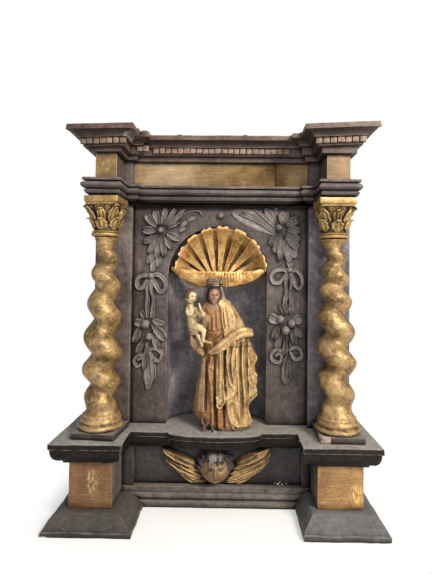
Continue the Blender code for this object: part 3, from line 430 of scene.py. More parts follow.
# ---------------------------------------------------------------- pedestals and dado board
# Two square pedestals of softwood, gilt in front over a brown ground and painted dark on their sides,
# with the dado board let in between them. The gilding has gone brown and is scratched and rubbed.
def from_cad(name):
    """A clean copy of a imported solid: its loose triangles are joined and its flat faces made whole."""
    bm = bmesh.new()
    bm.from_mesh(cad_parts[name].data)
    bmesh.ops.remove_doubles(bm, verts=bm.verts[:], dist=0.00005)
    bmesh.ops.dissolve_limit(bm, angle_limit=radians(1.0), verts=bm.verts[:], edges=bm.edges[:])
    return bm


def gilt_board(name, gold, brown, pale, rub_centre, rub_size, rub_strength, shine=0.35):
    """Oil gilding on a flat board: dull ochre gold, grained and speckled brown, rubbed pale in one place."""
    material, t, surface, place = blank_finish(name)
    colour = blend(t, ramp(t, grainy(t, place, 24.0, 6.0, 0.65), 0.36, 0.62), brown, gold)
    # brush drag in the ground, a line every 2 to 4 mm across the board
    lines = grainy(t, stretched(t, place, (22.0, 300.0, 260.0)), 1.0, 5.0)
    colour = toned(t, colour, ramp(t, lines, 0.32, 0.68, 0.80, 1.20))
    # dark specks of the ground, 2 to 4 mm across
    specks = grainy(t, place, 330.0, 5.0, 0.8)
    colour = toned(t, colour, ramp(t, specks, 0.36, 0.60, 0.62, 1.14))
    # the rubbed place: streaks inside an oval
    centred = node(t, "Mapping", {"Vector": place, "Scale": [1 / s for s in rub_size],
                                  "Location": [-c / s for c, s in zip(rub_centre, rub_size)]})
    reach = node(t, "VectorMath", {0: centred.outputs[0]}, operation="LENGTH").outputs["Value"]
    streaks = grainy(t, stretched(t, place, (210.0, 210.0, 70.0)), 1.0, 6.0, 0.7)
    rub = reckon(t, "MULTIPLY", ramp(t, reach, 0.55, 1.0, 1.0, 0.0),
                 ramp(t, streaks, 0.46, 0.60, 0.0, rub_strength))
    colour = blend(t, rub, colour, pale)
    # worn arrises, and darker in the corners and hollows
    free = openness(t, 0.010, 4)
    worn = reckon(t, "MULTIPLY", arris(t, 0.003, 0.99, 0.88, 0.8), ramp(t, free, 0.8, 0.98))
    colour = toned(t, blend(t, worn, colour, pale), ramp(t, free, 0.3, 0.92, 0.42, 1.0))
    wire(t, surface, {"Base Color": colour, "Metallic": shine,
                      "Roughness": ramp(t, specks, 0.35, 0.65, 0.62, 0.42),
                      "Normal": bumps(t, reckon(t, "ADD", specks, lines), 0.0006)})
    return material


side_paint = aged_paint("brown_black_side_paint", "#38312e", "#6d645d", "#75706b", UPRIGHT, edge_wear=0.7)
PEDESTAL_GILT = {
    "pedestal_left": gilt_board("browned_gilding_left", "#826241", "#684829", "#c9ab7b",
                                (-0.278, DADO_FRONT, 0.098), (0.016, 0.05, 0.034), 0.8),
    "pedestal_right": gilt_board("ochre_gilding_right", "#a17d4e", "#82603a", "#dcb86c",
                                 (0.312, DADO_FRONT, 0.078), (0.018, 0.05, 0.030), 1.0),
}
for name, gilt in PEDESTAL_GILT.items():
    bm = from_cad(name)
    soften(bm, 0.0012)
    bmesh.ops.subdivide_edges(bm, edges=[e for e in bm.edges if e.calc_length() > 0.03], cuts=5,
                              use_grid_fill=True)
    weather(bm, 0.0007, 0.04, 3.0)
    face_outward(bm)
    for face in bm.faces:
        face.material_index = 0 if face.normal.y < -0.6 else 1
    made = piece(name + "_case", bm, gilt, [name])
    made.data.materials.append(side_paint)

dado_paint = aged_paint("dark_dado_paint", "#262121", "#3f3837", "#6d6a66", ALONG_X, edge_wear=0.8,
                        pale_specks=0.35)
bm = from_cad("dado_panel")
soften(bm, 0.0009)
piece("dado_board", bm, dado_paint, ["dado_panel"])

# ---------------------------------------------------------------- ledge
# One run of moulding caps the pedestals and the dado: a broad ovolo under a flat lip, bowed forward in
# the middle into the shelf that carries the statue. Dark paint, dusty on top and chipped along the lip.
NICHE_X = -0.006
BOW_HALF = 0.110
BOW_STEPS = 16
LEDGE_IN = {"left": 0.2045, "right": 0.1885}


def bow(reach, half_width, y):
    """Points of a shallow bow that swells forward of y, left to right."""
    angles = [pi * k / BOW_STEPS for k in range(BOW_STEPS + 1)]
    return [(NICHE_X - half_width * cos(a), y - reach * sin(a) ** 0.8) for a in angles]


LEDGE_LIP_Y = -0.130
LEDGE_MIDDLE_LIP_Y = -0.044
LEDGE_OUT = {"left": 0.3645, "right": 0.3600}
LEDGE_HIGH = 0.1914
CASE_END = 0.128
root = [(-DADO["left"][1], CASE_END), (-DADO["left"][1], DADO_FRONT), (-DADO["left"][0], DADO_FRONT),
        (-DADO["left"][0], MIDDLE)] + bow(0.015, BOW_HALF * 0.7, MIDDLE)
root += [(DADO["right"][0], MIDDLE), (DADO["right"][0], DADO_FRONT), (DADO["right"][1], DADO_FRONT),
         (DADO["right"][1], CASE_END)]
lip = [(-LEDGE_OUT["left"], CASE_END), (-LEDGE_OUT["left"], LEDGE_LIP_Y), (-LEDGE_IN["left"], LEDGE_LIP_Y),
       (-LEDGE_IN["left"], LEDGE_MIDDLE_LIP_Y)] + bow(0.030, BOW_HALF, LEDGE_MIDDLE_LIP_Y)
lip += [(LEDGE_IN["right"], LEDGE_MIDDLE_LIP_Y), (LEDGE_IN["right"], LEDGE_LIP_Y),
        (LEDGE_OUT["right"], LEDGE_LIP_Y), (LEDGE_OUT["right"], CASE_END)]
ovolo = [(0.0, 0.1428), (0.28, 0.1430), (0.30, 0.1482), (0.42, 0.1492)]
ovolo += [(0.42 + 0.50 * sin(pi / 2 * k / 9),
           0.1500 + 0.0265 * (1 - cos(pi / 2 * k / 9))) for k in range(10)]
ovolo += [(0.945, 0.1790), (1.0, 0.1800), (1.0, LEDGE_HIGH)]
bm = bmesh.new()
moulding(bm, root, lip, ovolo, step=0.008)
soften(bm, 0.0010)
# knocks along the lip: a few bites taken out of the arris
KNOCKS = [(-0.205, -0.130, 0.186, 0.007), (-0.262, -0.130, LEDGE_HIGH, 0.006),
          (-0.330, -0.130, 0.182, 0.005), (0.058, -0.067, LEDGE_HIGH, 0.005),
          (0.150, -0.044, LEDGE_HIGH, 0.006), (0.1885, -0.085, LEDGE_HIGH, 0.006),
          (0.300, -0.130, LEDGE_HIGH, 0.006), (0.360, -0.128, 0.182, 0.006),
          (-0.110, -0.044, LEDGE_HIGH, 0.005)]


def knock(bm, knocks):
    """Takes bites out of an arris: vertices near each place are pushed in by part of its reach."""
    for x, y, z, reach in knocks:
        middle = Vector((x, y, z))
        for vert in bm.verts:
            away = (vert.co - middle).length
            if away < reach:
                inward = -vert.normal if vert.normal.length > 0 else Vector((0, 1, 0))
                vert.co += inward * (reach - away) * 0.55


bm.normal_update()
knock(bm, KNOCKS)
weather(bm, 0.0008, 0.06, 2.0)
hold(bm, y=(LEDGE_LIP_Y, FAR), z=(0.0, LEDGE_HIGH))
ledge_paint = aged_paint("dusty_ledge_paint", "#110d0c", "#251e1b", "#99958f", ALONG_X, edge_wear=1.0,
                         bare="#a8a098", dust=0.85,
                        specular=0.12)
piece("ledge_moulding", bm, ledge_paint, ["ledge"])

# ---------------------------------------------------------------- plinths and twisted columns
# Each column is one turned and carved length of limewood, a single-start twist on a lumpy turned base,
# gilt over brown ground. It stands on a loose painted plinth; the right plinth has lost a corner.
PLINTH_TOP = 0.2063
SHAFT_TOP = 0.6472
COLUMN_Y = -0.0545
WALL_Y = -0.0043                 # the turned work is cut flat where it meets the pilaster
ON_LEDGE = 0.1917                # what stands on the ledge starts here
COLUMNS = {
    "left": dict(side=-1, foot=0.2724, head=0.2676, seed=1.0,
                 swells=(0.661, 0.600, 0.538, 0.461, 0.379, 0.310, 0.246, 0.190)),
    "right": dict(side=1, foot=0.2794, head=0.2695, seed=7.0,
                  swells=(0.655, 0.6045, 0.5545, 0.503, 0.432, 0.359, 0.283, 0.215, 0.150)),
}
# down the shaft: height, half thickness of the rope of wood, how far it swings off the axis
SHAFT = ((0.6472, 0.0215, 0.0000), (0.636, 0.0205, 0.0022), (0.615, 0.0212, 0.0055), (0.580, 0.0232, 0.0068),
         (0.540, 0.0262, 0.0080), (0.500, 0.0292, 0.0092), (0.460, 0.0318, 0.0104), (0.400, 0.0342, 0.0112),
         (0.340, 0.0345, 0.0112), (0.300, 0.0330, 0.0088), (0.270, 0.0325, 0.0048), (0.250, 0.0345, 0.0012),
         (0.240, 0.0390, 0.0000))
# the turned base under it: (half thickness, height)
TURNED = [(0.0440, 0.2063), (0.0488, 0.2072), (0.0508, 0.2100), (0.0514, 0.2135), (0.0500, 0.2170),
          (0.0462, 0.2188), (0.0446, 0.2204), (0.0446, 0.2222), (0.0462, 0.2240), (0.0466, 0.2270),
          (0.0458, 0.2300), (0.0436, 0.2325), (0.0428, 0.2345), (0.0430, 0.2370), (0.0415, 0.2395)]
SHAFT_SIDES = 96
SHAFT_RINGS = 230


def between(table, z):
    """Reads a table that runs from the top down, and eases from one row to the next."""
    for top, low in zip(table, table[1:]):
        if z >= low[0]:
            part = min(1.0, max(0.0, (top[0] - z) / (top[0] - low[0])))
            return [a + (b - a) * part for a, b in zip(top[1:], low[1:])]
    return list(table[-1][1:])


def turns_at(swells, z):
    """Turns of the twist counted down from its top swell."""
    for k, (top, low) in enumerate(zip(swells, swells[1:])):
        if z >= low:
            return k + (top - z) / (top - low)
    return len(swells) - 1.0


def gilded_carving(name, gold, bright, umber, bole, shine=0.72, rubbed=0.5, scale=1.0, rough=0.40,
                   grit=0.62, reach=0.016):
    """Water gilding on carved limewood: warm leaf, brighter on the ridges where hands rub it and as painted
    highlight, umber in every hollow as settled dirt and as painted shade.
    """
    material, t, surface, place = blank_finish(name)
    clouds = grainy(t, place, 32.0 * scale, 6.0, 0.65)
    fine = grainy(t, place, 210.0 * scale, 6.0, 0.72)
    colour = blend(t, ramp(t, clouds, 0.38, 0.64), gold, bright)
    # ridges and hollows of the carving, with the grain of the ground breaking their edges; the ridges are
    # painted lighter, partly rubbed leaf and partly painted highlight
    broken_up = reckon(t, "MULTIPLY", reckon(t, "ADD", fine, -0.5), 0.16)
    ridge = reckon(t, "ADD", broken_up, node(t, "NewGeometry").outputs["Pointiness"])
    colour = blend(t, ramp(t, ridge, 0.505, 0.56, 0.0, 0.75), colour, bright)
    # umber in the hollows, deepened by occlusion out to the reach: partly dirt settled there, partly painted
    # shade
    dirt_and_shade = reckon(t, "MAXIMUM", ramp(t, ridge, 0.49, 0.43, 0.0, 0.85),
                  ramp(t, openness(t, reach, 6), 0.86, 0.35))
    colour = blend(t, dirt_and_shade, colour, umber)
    # leaf rubbed through to the brown-red bole in patches 5 to 20 mm across
    rub = grainy(t, place, 62.0 * scale, 7.0, 0.75)
    rub_mask = ramp(t, rub, 0.55, 0.66, 0.0, rubbed)
    colour = toned(t, blend(t, rub_mask, colour, bole), ramp(t, fine, 0.30, 0.62, grit, 1.15))
    bare = reckon(t, "MAXIMUM", dirt_and_shade, rub_mask)
    wire(t, surface, {"Base Color": colour, "Metallic": ramp(t, bare, 0.0, 1.0, shine, 0.08),
                      "Roughness": ramp(t, bare, 0.0, 1.0, rough, 0.72),
                      "Normal": bumps(t, reckon(t, "ADD", rub, fine), 0.0011)})
    return material


# the long reach of its occlusion puts painted shade far into the valleys of the twist
column_gilt = gilded_carving("honey_column_gilding", "#624a2a", "#ba9b68", "#180f06", "#3b2916", shine=0.45,
                             rubbed=0.7, scale=0.8, rough=0.44, grit=0.66, reach=0.040)
# each neck flares out under the ring of its capital, over a slight waist
COLLARS = {"left": 0.0055, "right": 0.0110}
COLLAR_HEIGHT = 0.021
WAIST = 0.0024
for name, column in COLUMNS.items():
    rings = [(radius, z, 0.0, 0.0) for radius, z in TURNED]
    for k in range(1, SHAFT_RINGS + 1):
        z = TURNED[-1][1] + (SHAFT_TOP - TURNED[-1][1]) * k / SHAFT_RINGS
        radius, swing = between(SHAFT, z)
        rings.append((radius, z, swing, 2 * pi * turns_at(column["swells"], z)))
    bm = bmesh.new()
    row = bmesh.ops.create_circle(bm, segments=SHAFT_SIDES, radius=1.0)["verts"]
    edges = bm.edges[:]
    around = [atan2(v.co.y, v.co.x) for v in row]
    bottom = list(edges)
    for step, (radius, z, swing, turn) in enumerate(rings):
        if step:
            row, edges = grow(bm, edges)
        part = (z - PLINTH_TOP) / (SHAFT_TOP - PLINTH_TOP)
        centre = column["side"] * (column["foot"] + (column["head"] - column["foot"]) * part)
        under = (SHAFT_TOP - z) / COLLAR_HEIGHT
        radius += COLLARS[name] * max(0.0, 1 - under) ** 1.3 - WAIST * exp(-((under - 1.1) / 0.35) ** 2)
        swing *= min(1.0, 0.35 + 0.6 * under)
        for vert, angle in zip(row, around):
            phase = angle - turn
            # the swell is full and round, the valley between two turns is a tight groove
            swell = 2 * (0.5 + 0.5 * cos(phase)) ** 0.75 - 1
            gouge_marks = 0.00045 * cos(15 * phase + 1.5 * sin(z * 90)) * min(1.0, swing / 0.004)
            reach = radius + swing * swell + gouge_marks
            vert.co = (centre + reach * cos(angle), COLUMN_Y + reach * sin(angle), z)
    cap(bm, bottom, edges)
    weather(bm, 0.0014, 0.022, column["seed"])
    weather(bm, 0.0006, 0.008, column["seed"])
    hold(bm, y=(-FAR, WALL_Y), z=(PLINTH_TOP, SHAFT_TOP))
    piece("column_" + name + "_twist", bm, column_gilt, ["column_" + name], smooth=60)

plinth_paint = aged_paint("grey_brown_plinth_paint", "#2b2623", "#4c443f", "#7d7670", ALONG_X, edge_wear=0.7)
# broken softwood and gesso: pale, pitted and matt
broken = aged_paint("broken_gesso_and_wood", "#8d7867", "#c6b6a5", "#a89b90", UPRIGHT, edge_wear=0.3,
                    dust=0.2)
LOST_CORNER = Vector((0.2294, -0.1045, 0.200))
BREAK_REACH = 0.017              # how far the break eats into the plinth
BARE_REACH = 0.027               # how far the paint is lost round it
for name in ("left", "right"):
    bm = from_cad("plinth_" + name)
    soften(bm, 0.0012)
    for _ in range(2):
        bmesh.ops.subdivide_edges(bm, edges=[e for e in bm.edges if e.calc_length() > 0.006], cuts=2,
                                  use_grid_fill=True)
    face_outward(bm)
    if name == "right":
        for vert in bm.verts:
            away = (vert.co - LOST_CORNER).length + 0.004 * noise.noise(vert.co * 150)
            if away < BREAK_REACH:
                depth = (BREAK_REACH - away) * (0.32 + 0.3 * noise.noise(vert.co * 260))
                vert.co += Vector((0.6, 0.7, -0.15)) * depth
        for face in bm.faces:
            at = face.calc_center_median()
            away = (at - LOST_CORNER).length + 0.006 * noise.noise(at * 120)
            face.material_index = 1 if away < BARE_REACH else 0
    weather(bm, 0.0008, 0.02, 8.0)
    hold(bm, y=(-FAR, WALL_Y), z=(ON_LEDGE, PLINTH_TOP - 0.0003))
    made = piece("plinth_" + name + "_block", bm, plinth_paint, ["plinth_" + name])
    made.data.materials.append(broken)

# ---------------------------------------------------------------- capitals
# Small Corinthian capitals, each carved from one block of limewood and gilt: a double ring, a bell, two
# rows of curled leaves, scrolls under the corners and a square abacus.
capital_gilt = gilded_carving("old_capital_gilding", "#6b522f", "#b5965f", "#1f1409", "#4c3619", scale=1.1,
                              shine=0.5, rough=0.42, grit=0.70)
RING = [(0.0240, 0.6475), (0.0262, 0.6483), (0.0305, 0.6496), (0.0338, 0.6512), (0.0352, 0.6532),
        (0.0350, 0.6556), (0.0330, 0.6572), (0.0318, 0.6580), (0.0330, 0.6590), (0.0338, 0.6602),
        (0.0332, 0.6614), (0.0300, 0.6622), (0.0262, 0.6640), (0.0262, 0.6800), (0.0288, 0.6950),
        (0.0338, 0.7090), (0.0378, 0.7210), (0.0200, 0.7230)]
CAPITAL_TOP = 0.7417
CAPITALS = {
    "left": dict(x=-0.2690, half=0.0402, turn=-4.0, ring=0.93),
    "right": dict(x=0.2695, half=0.0425, turn=0.0, ring=0.98),
}


def directions(angle):
    """Straight out from an axis at a bearing, and across it."""
    return Vector((cos(angle), sin(angle), 0)), Vector((-sin(angle), cos(angle), 0))


def curled_leaf(bm, hub, angle, low, high, root, lean_out, half_width, thick, curl, lobes=3.5):
    """A thick fluted leaf that climbs the bell and rolls over at its tip: one closed tongue of wood."""
    out, across = directions(angle)
    up = Vector((0, 0, 1))
    climb = high - low - curl
    ball = bmesh.ops.create_uvsphere(bm, u_segments=32, v_segments=26, radius=1.0)
    for vert in ball["verts"]:
        z = max(-1.0, min(1.0, vert.co.z))
        v = 0.5 + asin(z) / pi                      # 0 at the root, 1 at the tip
        end = max(0.0, 1 - z * z) ** 0.5            # closes both ends
        a = atan2(vert.co.y, vert.co.x)
        u, w = cos(a), sin(a)                       # across the leaf, and out of its face
        straight, roll = min(1.0, v / 0.64), max(0.0, (v - 0.64) / 0.36) * radians(155)
        reach = root + lean_out * straight ** 2 + curl * (1 - cos(roll))
        height = low + climb * straight + curl * sin(roll)
        normal = out * cos(roll) - up * sin(roll)
        cut = 1 - 0.18 * abs(sin(pi * lobes * v)) ** 2 * abs(u)
        spread = half_width * (0.62 + 0.38 * sin(pi * min(1.0, v * 1.2))) * end ** 0.4 * cut
        flute = 0.50 * cos(2.6 * pi * u) + 0.40 * exp(-(u / 0.22) ** 2) if w > 0 else 0.0
        depth = thick * end ** 0.5 * (1 - 0.3 * v) * (w + flute * end)
        vert.co = hub + out * reach + up * height + across * u * spread + normal * depth


def scroll(bm, middle, out, across, radius, thick, sense=1.0):
    """A small rolled volute: a round bar wound inwards, with a button at its eye."""
    path, radii = [], []
    for k in range(22):
        a = 2 * pi * 1.35 * k / 21
        r = radius * (1 - 0.72 * k / 21)
        path.append(middle + (out * cos(a) * sense + Vector((0, 0, 1)) * sin(a)) * r)
        radii.append(thick * (1 - 0.45 * k / 21))
    tube(bm, path, radii, sides=8, stretch=(across, 1.7))
    bmesh.ops.create_uvsphere(bm, u_segments=8, v_segments=6, radius=thick * 0.9,
                              matrix=Matrix.Translation(middle))


def tube(bm, path, radii, sides=10, stretch=None):
    """A closed round bar through the points; stretch widens it along one direction."""
    points = [Vector(p) for p in path]
    row, edges = None, None
    for k, (point, radius) in enumerate(zip(points, radii)):
        along = (points[min(k + 1, len(points) - 1)] - points[max(k - 1, 0)]).normalized()
        side = along.cross(Vector((0, 1, 0)))
        side = side.normalized() if side.length > 0.05 else along.cross(Vector((1, 0, 0))).normalized()
        other = along.cross(side)
        if row is None:
            row = bmesh.ops.create_circle(bm, segments=sides, radius=1.0)["verts"]
            edges = list({e for v in row for e in v.link_edges})
            start = list(edges)
            turns = [atan2(v.co.y, v.co.x) for v in row]
        else:
            row, edges = grow(bm, edges)
        for vert, a in zip(row, turns):
            offset = (side * cos(a) + other * sin(a)) * radius
            if stretch:
                offset += stretch[0] * offset.dot(stretch[0]) * (stretch[1] - 1)
            vert.co = point + offset
    cap(bm, start, edges)


def join(bm, other):
    """Adds a finished skin to another, keeping its finishes."""
    loose = bpy.data.meshes.new("loose_part")
    other.to_mesh(loose)
    other.free()
    bm.from_mesh(loose)
    bpy.data.meshes.remove(loose)


for name, capital in CAPITALS.items():
    hub = Vector((capital["x"], COLUMN_Y, 0))
    turn = radians(capital["turn"])
    half = capital["half"]
    bm = bmesh.new()
    verts = [bm.verts.new((hub.x + radius * capital["ring"], hub.y, z)) for radius, z in RING]
    edges = [bm.edges.new(pair) for pair in zip(verts, verts[1:])]
    bmesh.ops.spin(bm, geom=verts + edges, cent=hub, axis=(0, 0, 1), angle=2 * pi, steps=48, use_merge=True,
                   use_normal_flip=False, use_duplicate=False)
    for z_end in (RING[0][1], RING[-1][1]):
        cap(bm, [e for e in bm.edges if e.is_boundary and abs(e.verts[0].co.z - z_end) < 1e-5])
    leaves = bmesh.new()
    for k in range(6):
        tall = 0.6925 if k % 2 else 0.6895
        curled_leaf(leaves, hub, turn + pi * (k + 0.5) / 3, 0.6625, tall, 0.0275 * capital["ring"], 0.0078,
                    0.0162, 0.0038, 0.0062)
    for k in range(4):
        corner = turn + pi * (k + 0.5) / 2
        curled_leaf(leaves, hub, corner, 0.6760, 0.7150, 0.0275, half * 0.40, 0.0132, 0.0038, 0.0058)
        curled_leaf(leaves, hub, turn + pi * k / 2, 0.6790, 0.7130, 0.0280, 0.0086, 0.0112, 0.0036, 0.0050)
    for k in range(4):
        out, across = directions(turn + pi * (k + 0.5) / 2)
        scroll(leaves, hub + out * (half * 1.16) + Vector((0, 0, 0.7145)), out, across, 0.0066, 0.0036)
        out, across = directions(turn + pi * k / 2)
        for sense in (-1, 1):
            middle = hub + out * (half - 0.003) + across * sense * 0.0078 + Vector((0, 0, 0.7155))
            scroll(leaves, middle, across * -sense, out, 0.0044, 0.0019)
    # abacus: hollowed a little on each face, with a step under its edge
    abacus = bmesh.new()
    row = bmesh.ops.create_circle(abacus, segments=64, radius=1.0)["verts"]
    edges = abacus.edges[:]
    turns = [atan2(v.co.y, v.co.x) for v in row]
    start = list(edges)
    for step, (share, z) in enumerate([(0.80, 0.7215), (0.90, 0.7220), (0.93, 0.7250), (0.93, 0.7268),
                                       (1.0, 0.7284), (1.0, CAPITAL_TOP)]):
        if step:
            row, edges = grow(abacus, edges)
        for vert, a in zip(row, turns):
            quarter = (a + pi / 4) % (pi / 2) - pi / 4
            hollow = 1 - 0.045 * cos(2 * quarter) ** 2
            reach = half * share * hollow / cos(quarter)
            reach = min(reach, half * share * 1.39)
            vert.co = (hub.x + reach * cos(a + turn), hub.y + reach * sin(a + turn), z)
    cap(abacus, start, edges)
    soften(abacus, 0.0008, angle=35)
    for part in (leaves, abacus):
        join(bm, part)
    weather(bm, 0.0009, 0.011, capital["x"] * 10)
    hold(bm, y=(-FAR, WALL_Y), z=(RING[0][1], CAPITAL_TOP))
    piece("capital_" + name + "_carving", bm, capital_gilt, ["capital_" + name], smooth=50)

# ---------------------------------------------------------------- pilasters, niche board, recess and back
# The case: two pilaster boards with their sides, the board with the round-arched opening, the thin
# bent recess behind it and a plain back board. All painted; the recess is a cooler grey inside.
SOFFIT = 0.7418                  # underside of the architrave
BEAD_STOP = 0.2262               # outer end of the bead under it
PANEL_FRONT = 0.017
BOARD = 0.014
NICHE_R = 0.1245
SPRING = 0.560


def slice_at(bm, x):
    """Scores a piece round along an upright plane."""
    bmesh.ops.bisect_plane(bm, geom=bm.verts[:] + bm.edges[:] + bm.faces[:], plane_co=(x, 0, 0),
                           plane_no=(1, 0, 0))


pilaster_paint = aged_paint("brown_pilaster_paint", "#3c3330", "#73665f", "#77736f", UPRIGHT, edge_wear=1.0,
                            bare="#a59585")
cooler_paint = aged_paint("grey_brown_pilaster_paint", "#413c40", "#7c757a", "#77736f", UPRIGHT,
                          edge_wear=1.0, bare="#a59585")
for name, paint in (("pilaster_left", pilaster_paint), ("pilaster_right", cooler_paint)):
    bm = from_cad(name)
    # outside the bead of the architrave the board runs on up to the soffit
    bead_end = BEAD_STOP if name.endswith("right") else -BEAD_STOP
    slice_at(bm, bead_end)
    face_outward(bm)
    bm.normal_update()
    ends = [f for f in bm.faces if f.normal.z > 0.9 and f.calc_center_median().z > 0.73
            and abs(f.calc_center_median().x) > BEAD_STOP]
    grown = bmesh.ops.extrude_face_region(bm, geom=ends)
    for vert in grown["geom"]:
        if isinstance(vert, bmesh.types.BMVert):
            vert.co.z = SOFFIT
    bmesh.ops.delete(bm, geom=ends, context="FACES")
    soften(bm, 0.0010)
    weather(bm, 0.0004, 0.10, 4.0)
    piece(name + "_board", bm, paint, [name])

low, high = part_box("niche_board")
board_paint = aged_paint("faded_niche_board_paint", "#352d2c", "#605652", "#77736f", UPRIGHT, edge_wear=1.0,
                         bare="#a59585", hollow_shade=0.16)
bm = bmesh.new()
outline = [(low.x, low.z), (low.x, high.z), (high.x, high.z), (high.x, low.z), (NICHE_X + NICHE_R, low.z)]
ARCH_STEPS = 56
outline += [(NICHE_X + NICHE_R * cos(pi * k / ARCH_STEPS), SPRING + NICHE_R * sin(pi * k / ARCH_STEPS))
            for k in range(ARCH_STEPS + 1)]
outline += [(NICHE_X - NICHE_R, low.z)]
corners = [bm.verts.new((x, PANEL_FRONT, z)) for x, z in outline]
edges = [bm.edges.new(pair) for pair in zip(corners, corners[1:] + corners[:1])]
face = bmesh.ops.contextual_create(bm, geom=edges)["faces"][0]
pushed = bmesh.ops.extrude_face_region(bm, geom=[face], use_keep_orig=True)
bmesh.ops.translate(bm, verts=[g for g in pushed["geom"] if isinstance(g, bmesh.types.BMVert)],
                    vec=(0, BOARD, 0))
face_outward(bm)
soften(bm, 0.0012)
piece("niche_front_board", bm, board_paint, ["niche_board"])

# the recess: an upright and a quarter round, spun half a turn and squeezed to its depth
RECESS_FRONT = PANEL_FRONT + BOARD + 0.0003
RECESS_DEPTH = 0.086
WALL = 0.005
bm = bmesh.new()
line = [(NICHE_X - NICHE_R, RECESS_FRONT, ON_LEDGE + (SPRING - ON_LEDGE) * k / 12) for k in range(13)]
line += [(NICHE_X - NICHE_R * cos(pi / 2 * k / 14), RECESS_FRONT, SPRING + NICHE_R * sin(pi / 2 * k / 14))
         for k in range(1, 15)]
verts = [bm.verts.new(p) for p in line]
edges = [bm.edges.new(pair) for pair in zip(verts, verts[1:])]
bmesh.ops.spin(bm, geom=verts + edges, cent=(NICHE_X, RECESS_FRONT, 0), axis=(0, 0, 1), angle=-pi, steps=44,
               use_merge=False, use_normal_flip=False, use_duplicate=False)
bmesh.ops.remove_doubles(bm, verts=bm.verts[:], dist=0.0002)
for vert in bm.verts:
    vert.co.y = RECESS_FRONT + (vert.co.y - RECESS_FRONT) * RECESS_DEPTH / NICHE_R
face_outward(bm)
if bm.faces[0].normal.dot(bm.faces[0].calc_center_median() - Vector((NICHE_X, RECESS_FRONT, 0.4))) < 0:
    bmesh.ops.reverse_faces(bm, faces=bm.faces[:])
weather(bm, 0.0006, 0.08, 6.0)
hold(bm, y=(RECESS_FRONT, FAR), z=(ON_LEDGE, FAR))
bmesh.ops.solidify(bm, geom=bm.faces[:], thickness=-WALL)
recess_paint = aged_paint("blue_grey_recess_paint", "#504b4f", "#8d8889", "#77736f", UPRIGHT, dust=0.5)
piece("niche_recess_shell", bm, recess_paint, ["niche_recess"])

bare_back = aged_paint("dull_back_board_wood", "#372b22", "#5a4839", "#706252", UPRIGHT, edge_wear=0.6)
bm = from_cad("back_board")
soften(bm, 0.0010)
piece("rear_board", bm, bare_back, ["back_board"])

# ---------------------------------------------------------------- shell hood
# A scallop carved from limewood fills the head of the niche: nine gilt ribs fan out from a grooved
# hinge, and the hinge rolls down in front as a lip. The umber between the ribs is partly settled dirt and
# partly painted shade.
shell_gilt = gilded_carving("warm_shell_gilding", "#93692f", "#e0b878", "#1f1108", "#5f3d1d", scale=0.9,
                            shine=0.5, rough=0.42, grit=0.74, reach=0.03)
# crest of each rib: its bearing round the hinge, in degrees, from the left
CRESTS = [171.0, 151.0, 128.0, 106.0, 85.0, 62.0, 38.0, 15.0]
RIBS = len(CRESTS)
SHELL_Z = 0.5690                 # height of the hinge
HINGE_Y = 0.048
HINGE_FROM, HINGE_TO = -0.058, 0.042
RIM_Y = 0.0066
SHELL_FRONT, SHELL_BACK = 0.0042, 0.0958
WIDE = 14                        # grid steps across one rib
VALLEYS = [(left + right) / 2 for left, right in zip(CRESTS, CRESTS[1:])] + [3.0]
bearings = [180.0] + [bearing for pair in zip(CRESTS, VALLEYS) for bearing in pair]

bm = bmesh.new()
fan = bmesh.ops.create_grid(bm, x_segments=RIBS * WIDE, y_segments=46, size=0.5)
for vert in fan["verts"]:
    u, t = vert.co.x + 0.5, vert.co.y + 0.5
    spot = min(u * RIBS * 2, RIBS * 2 - 1e-6)
    k = int(spot)
    angle = radians(bearings[k] + (bearings[k + 1] - bearings[k]) * (spot - k))
    rise = 1 - abs(2 * ((u * RIBS) % 1.0) - 1)           # 0 in the valley, 1 on the crest
    flank = min(1.0, max(0.0, (rise - 0.12) / 0.34))
    crest = flank * flank * (3 - 2 * flank)
    fillet = exp(-((rise - 0.66) / 0.09) ** 2)           # each rib is edged with a shallow line
    reach = 0.1105 + 0.0065 * cos(angle) + 0.0035 * crest
    rim = Vector((NICHE_X + 0.002 + reach * cos(angle), RIM_Y, SHELL_Z + reach * sin(angle)))
    hinge = Vector((HINGE_FROM + (HINGE_TO - HINGE_FROM) * u, HINGE_Y, SHELL_Z))
    point = hinge.lerp(rim, t)
    # the fan hollows back like half a bowl and comes forward again to the rim
    point.y += 0.030 * sin(pi * t) ** 0.9
    point.y -= (0.003 + 0.0125 * t ** 0.7) * (crest - 0.5) - 0.0016 * fillet * t
    vert.co = point
face_outward(bm)
if sum(f.normal.y for f in bm.faces) > 0:
    bmesh.ops.reverse_faces(bm, faces=bm.faces[:])
bmesh.ops.solidify(bm, geom=bm.faces[:], thickness=0.0028)

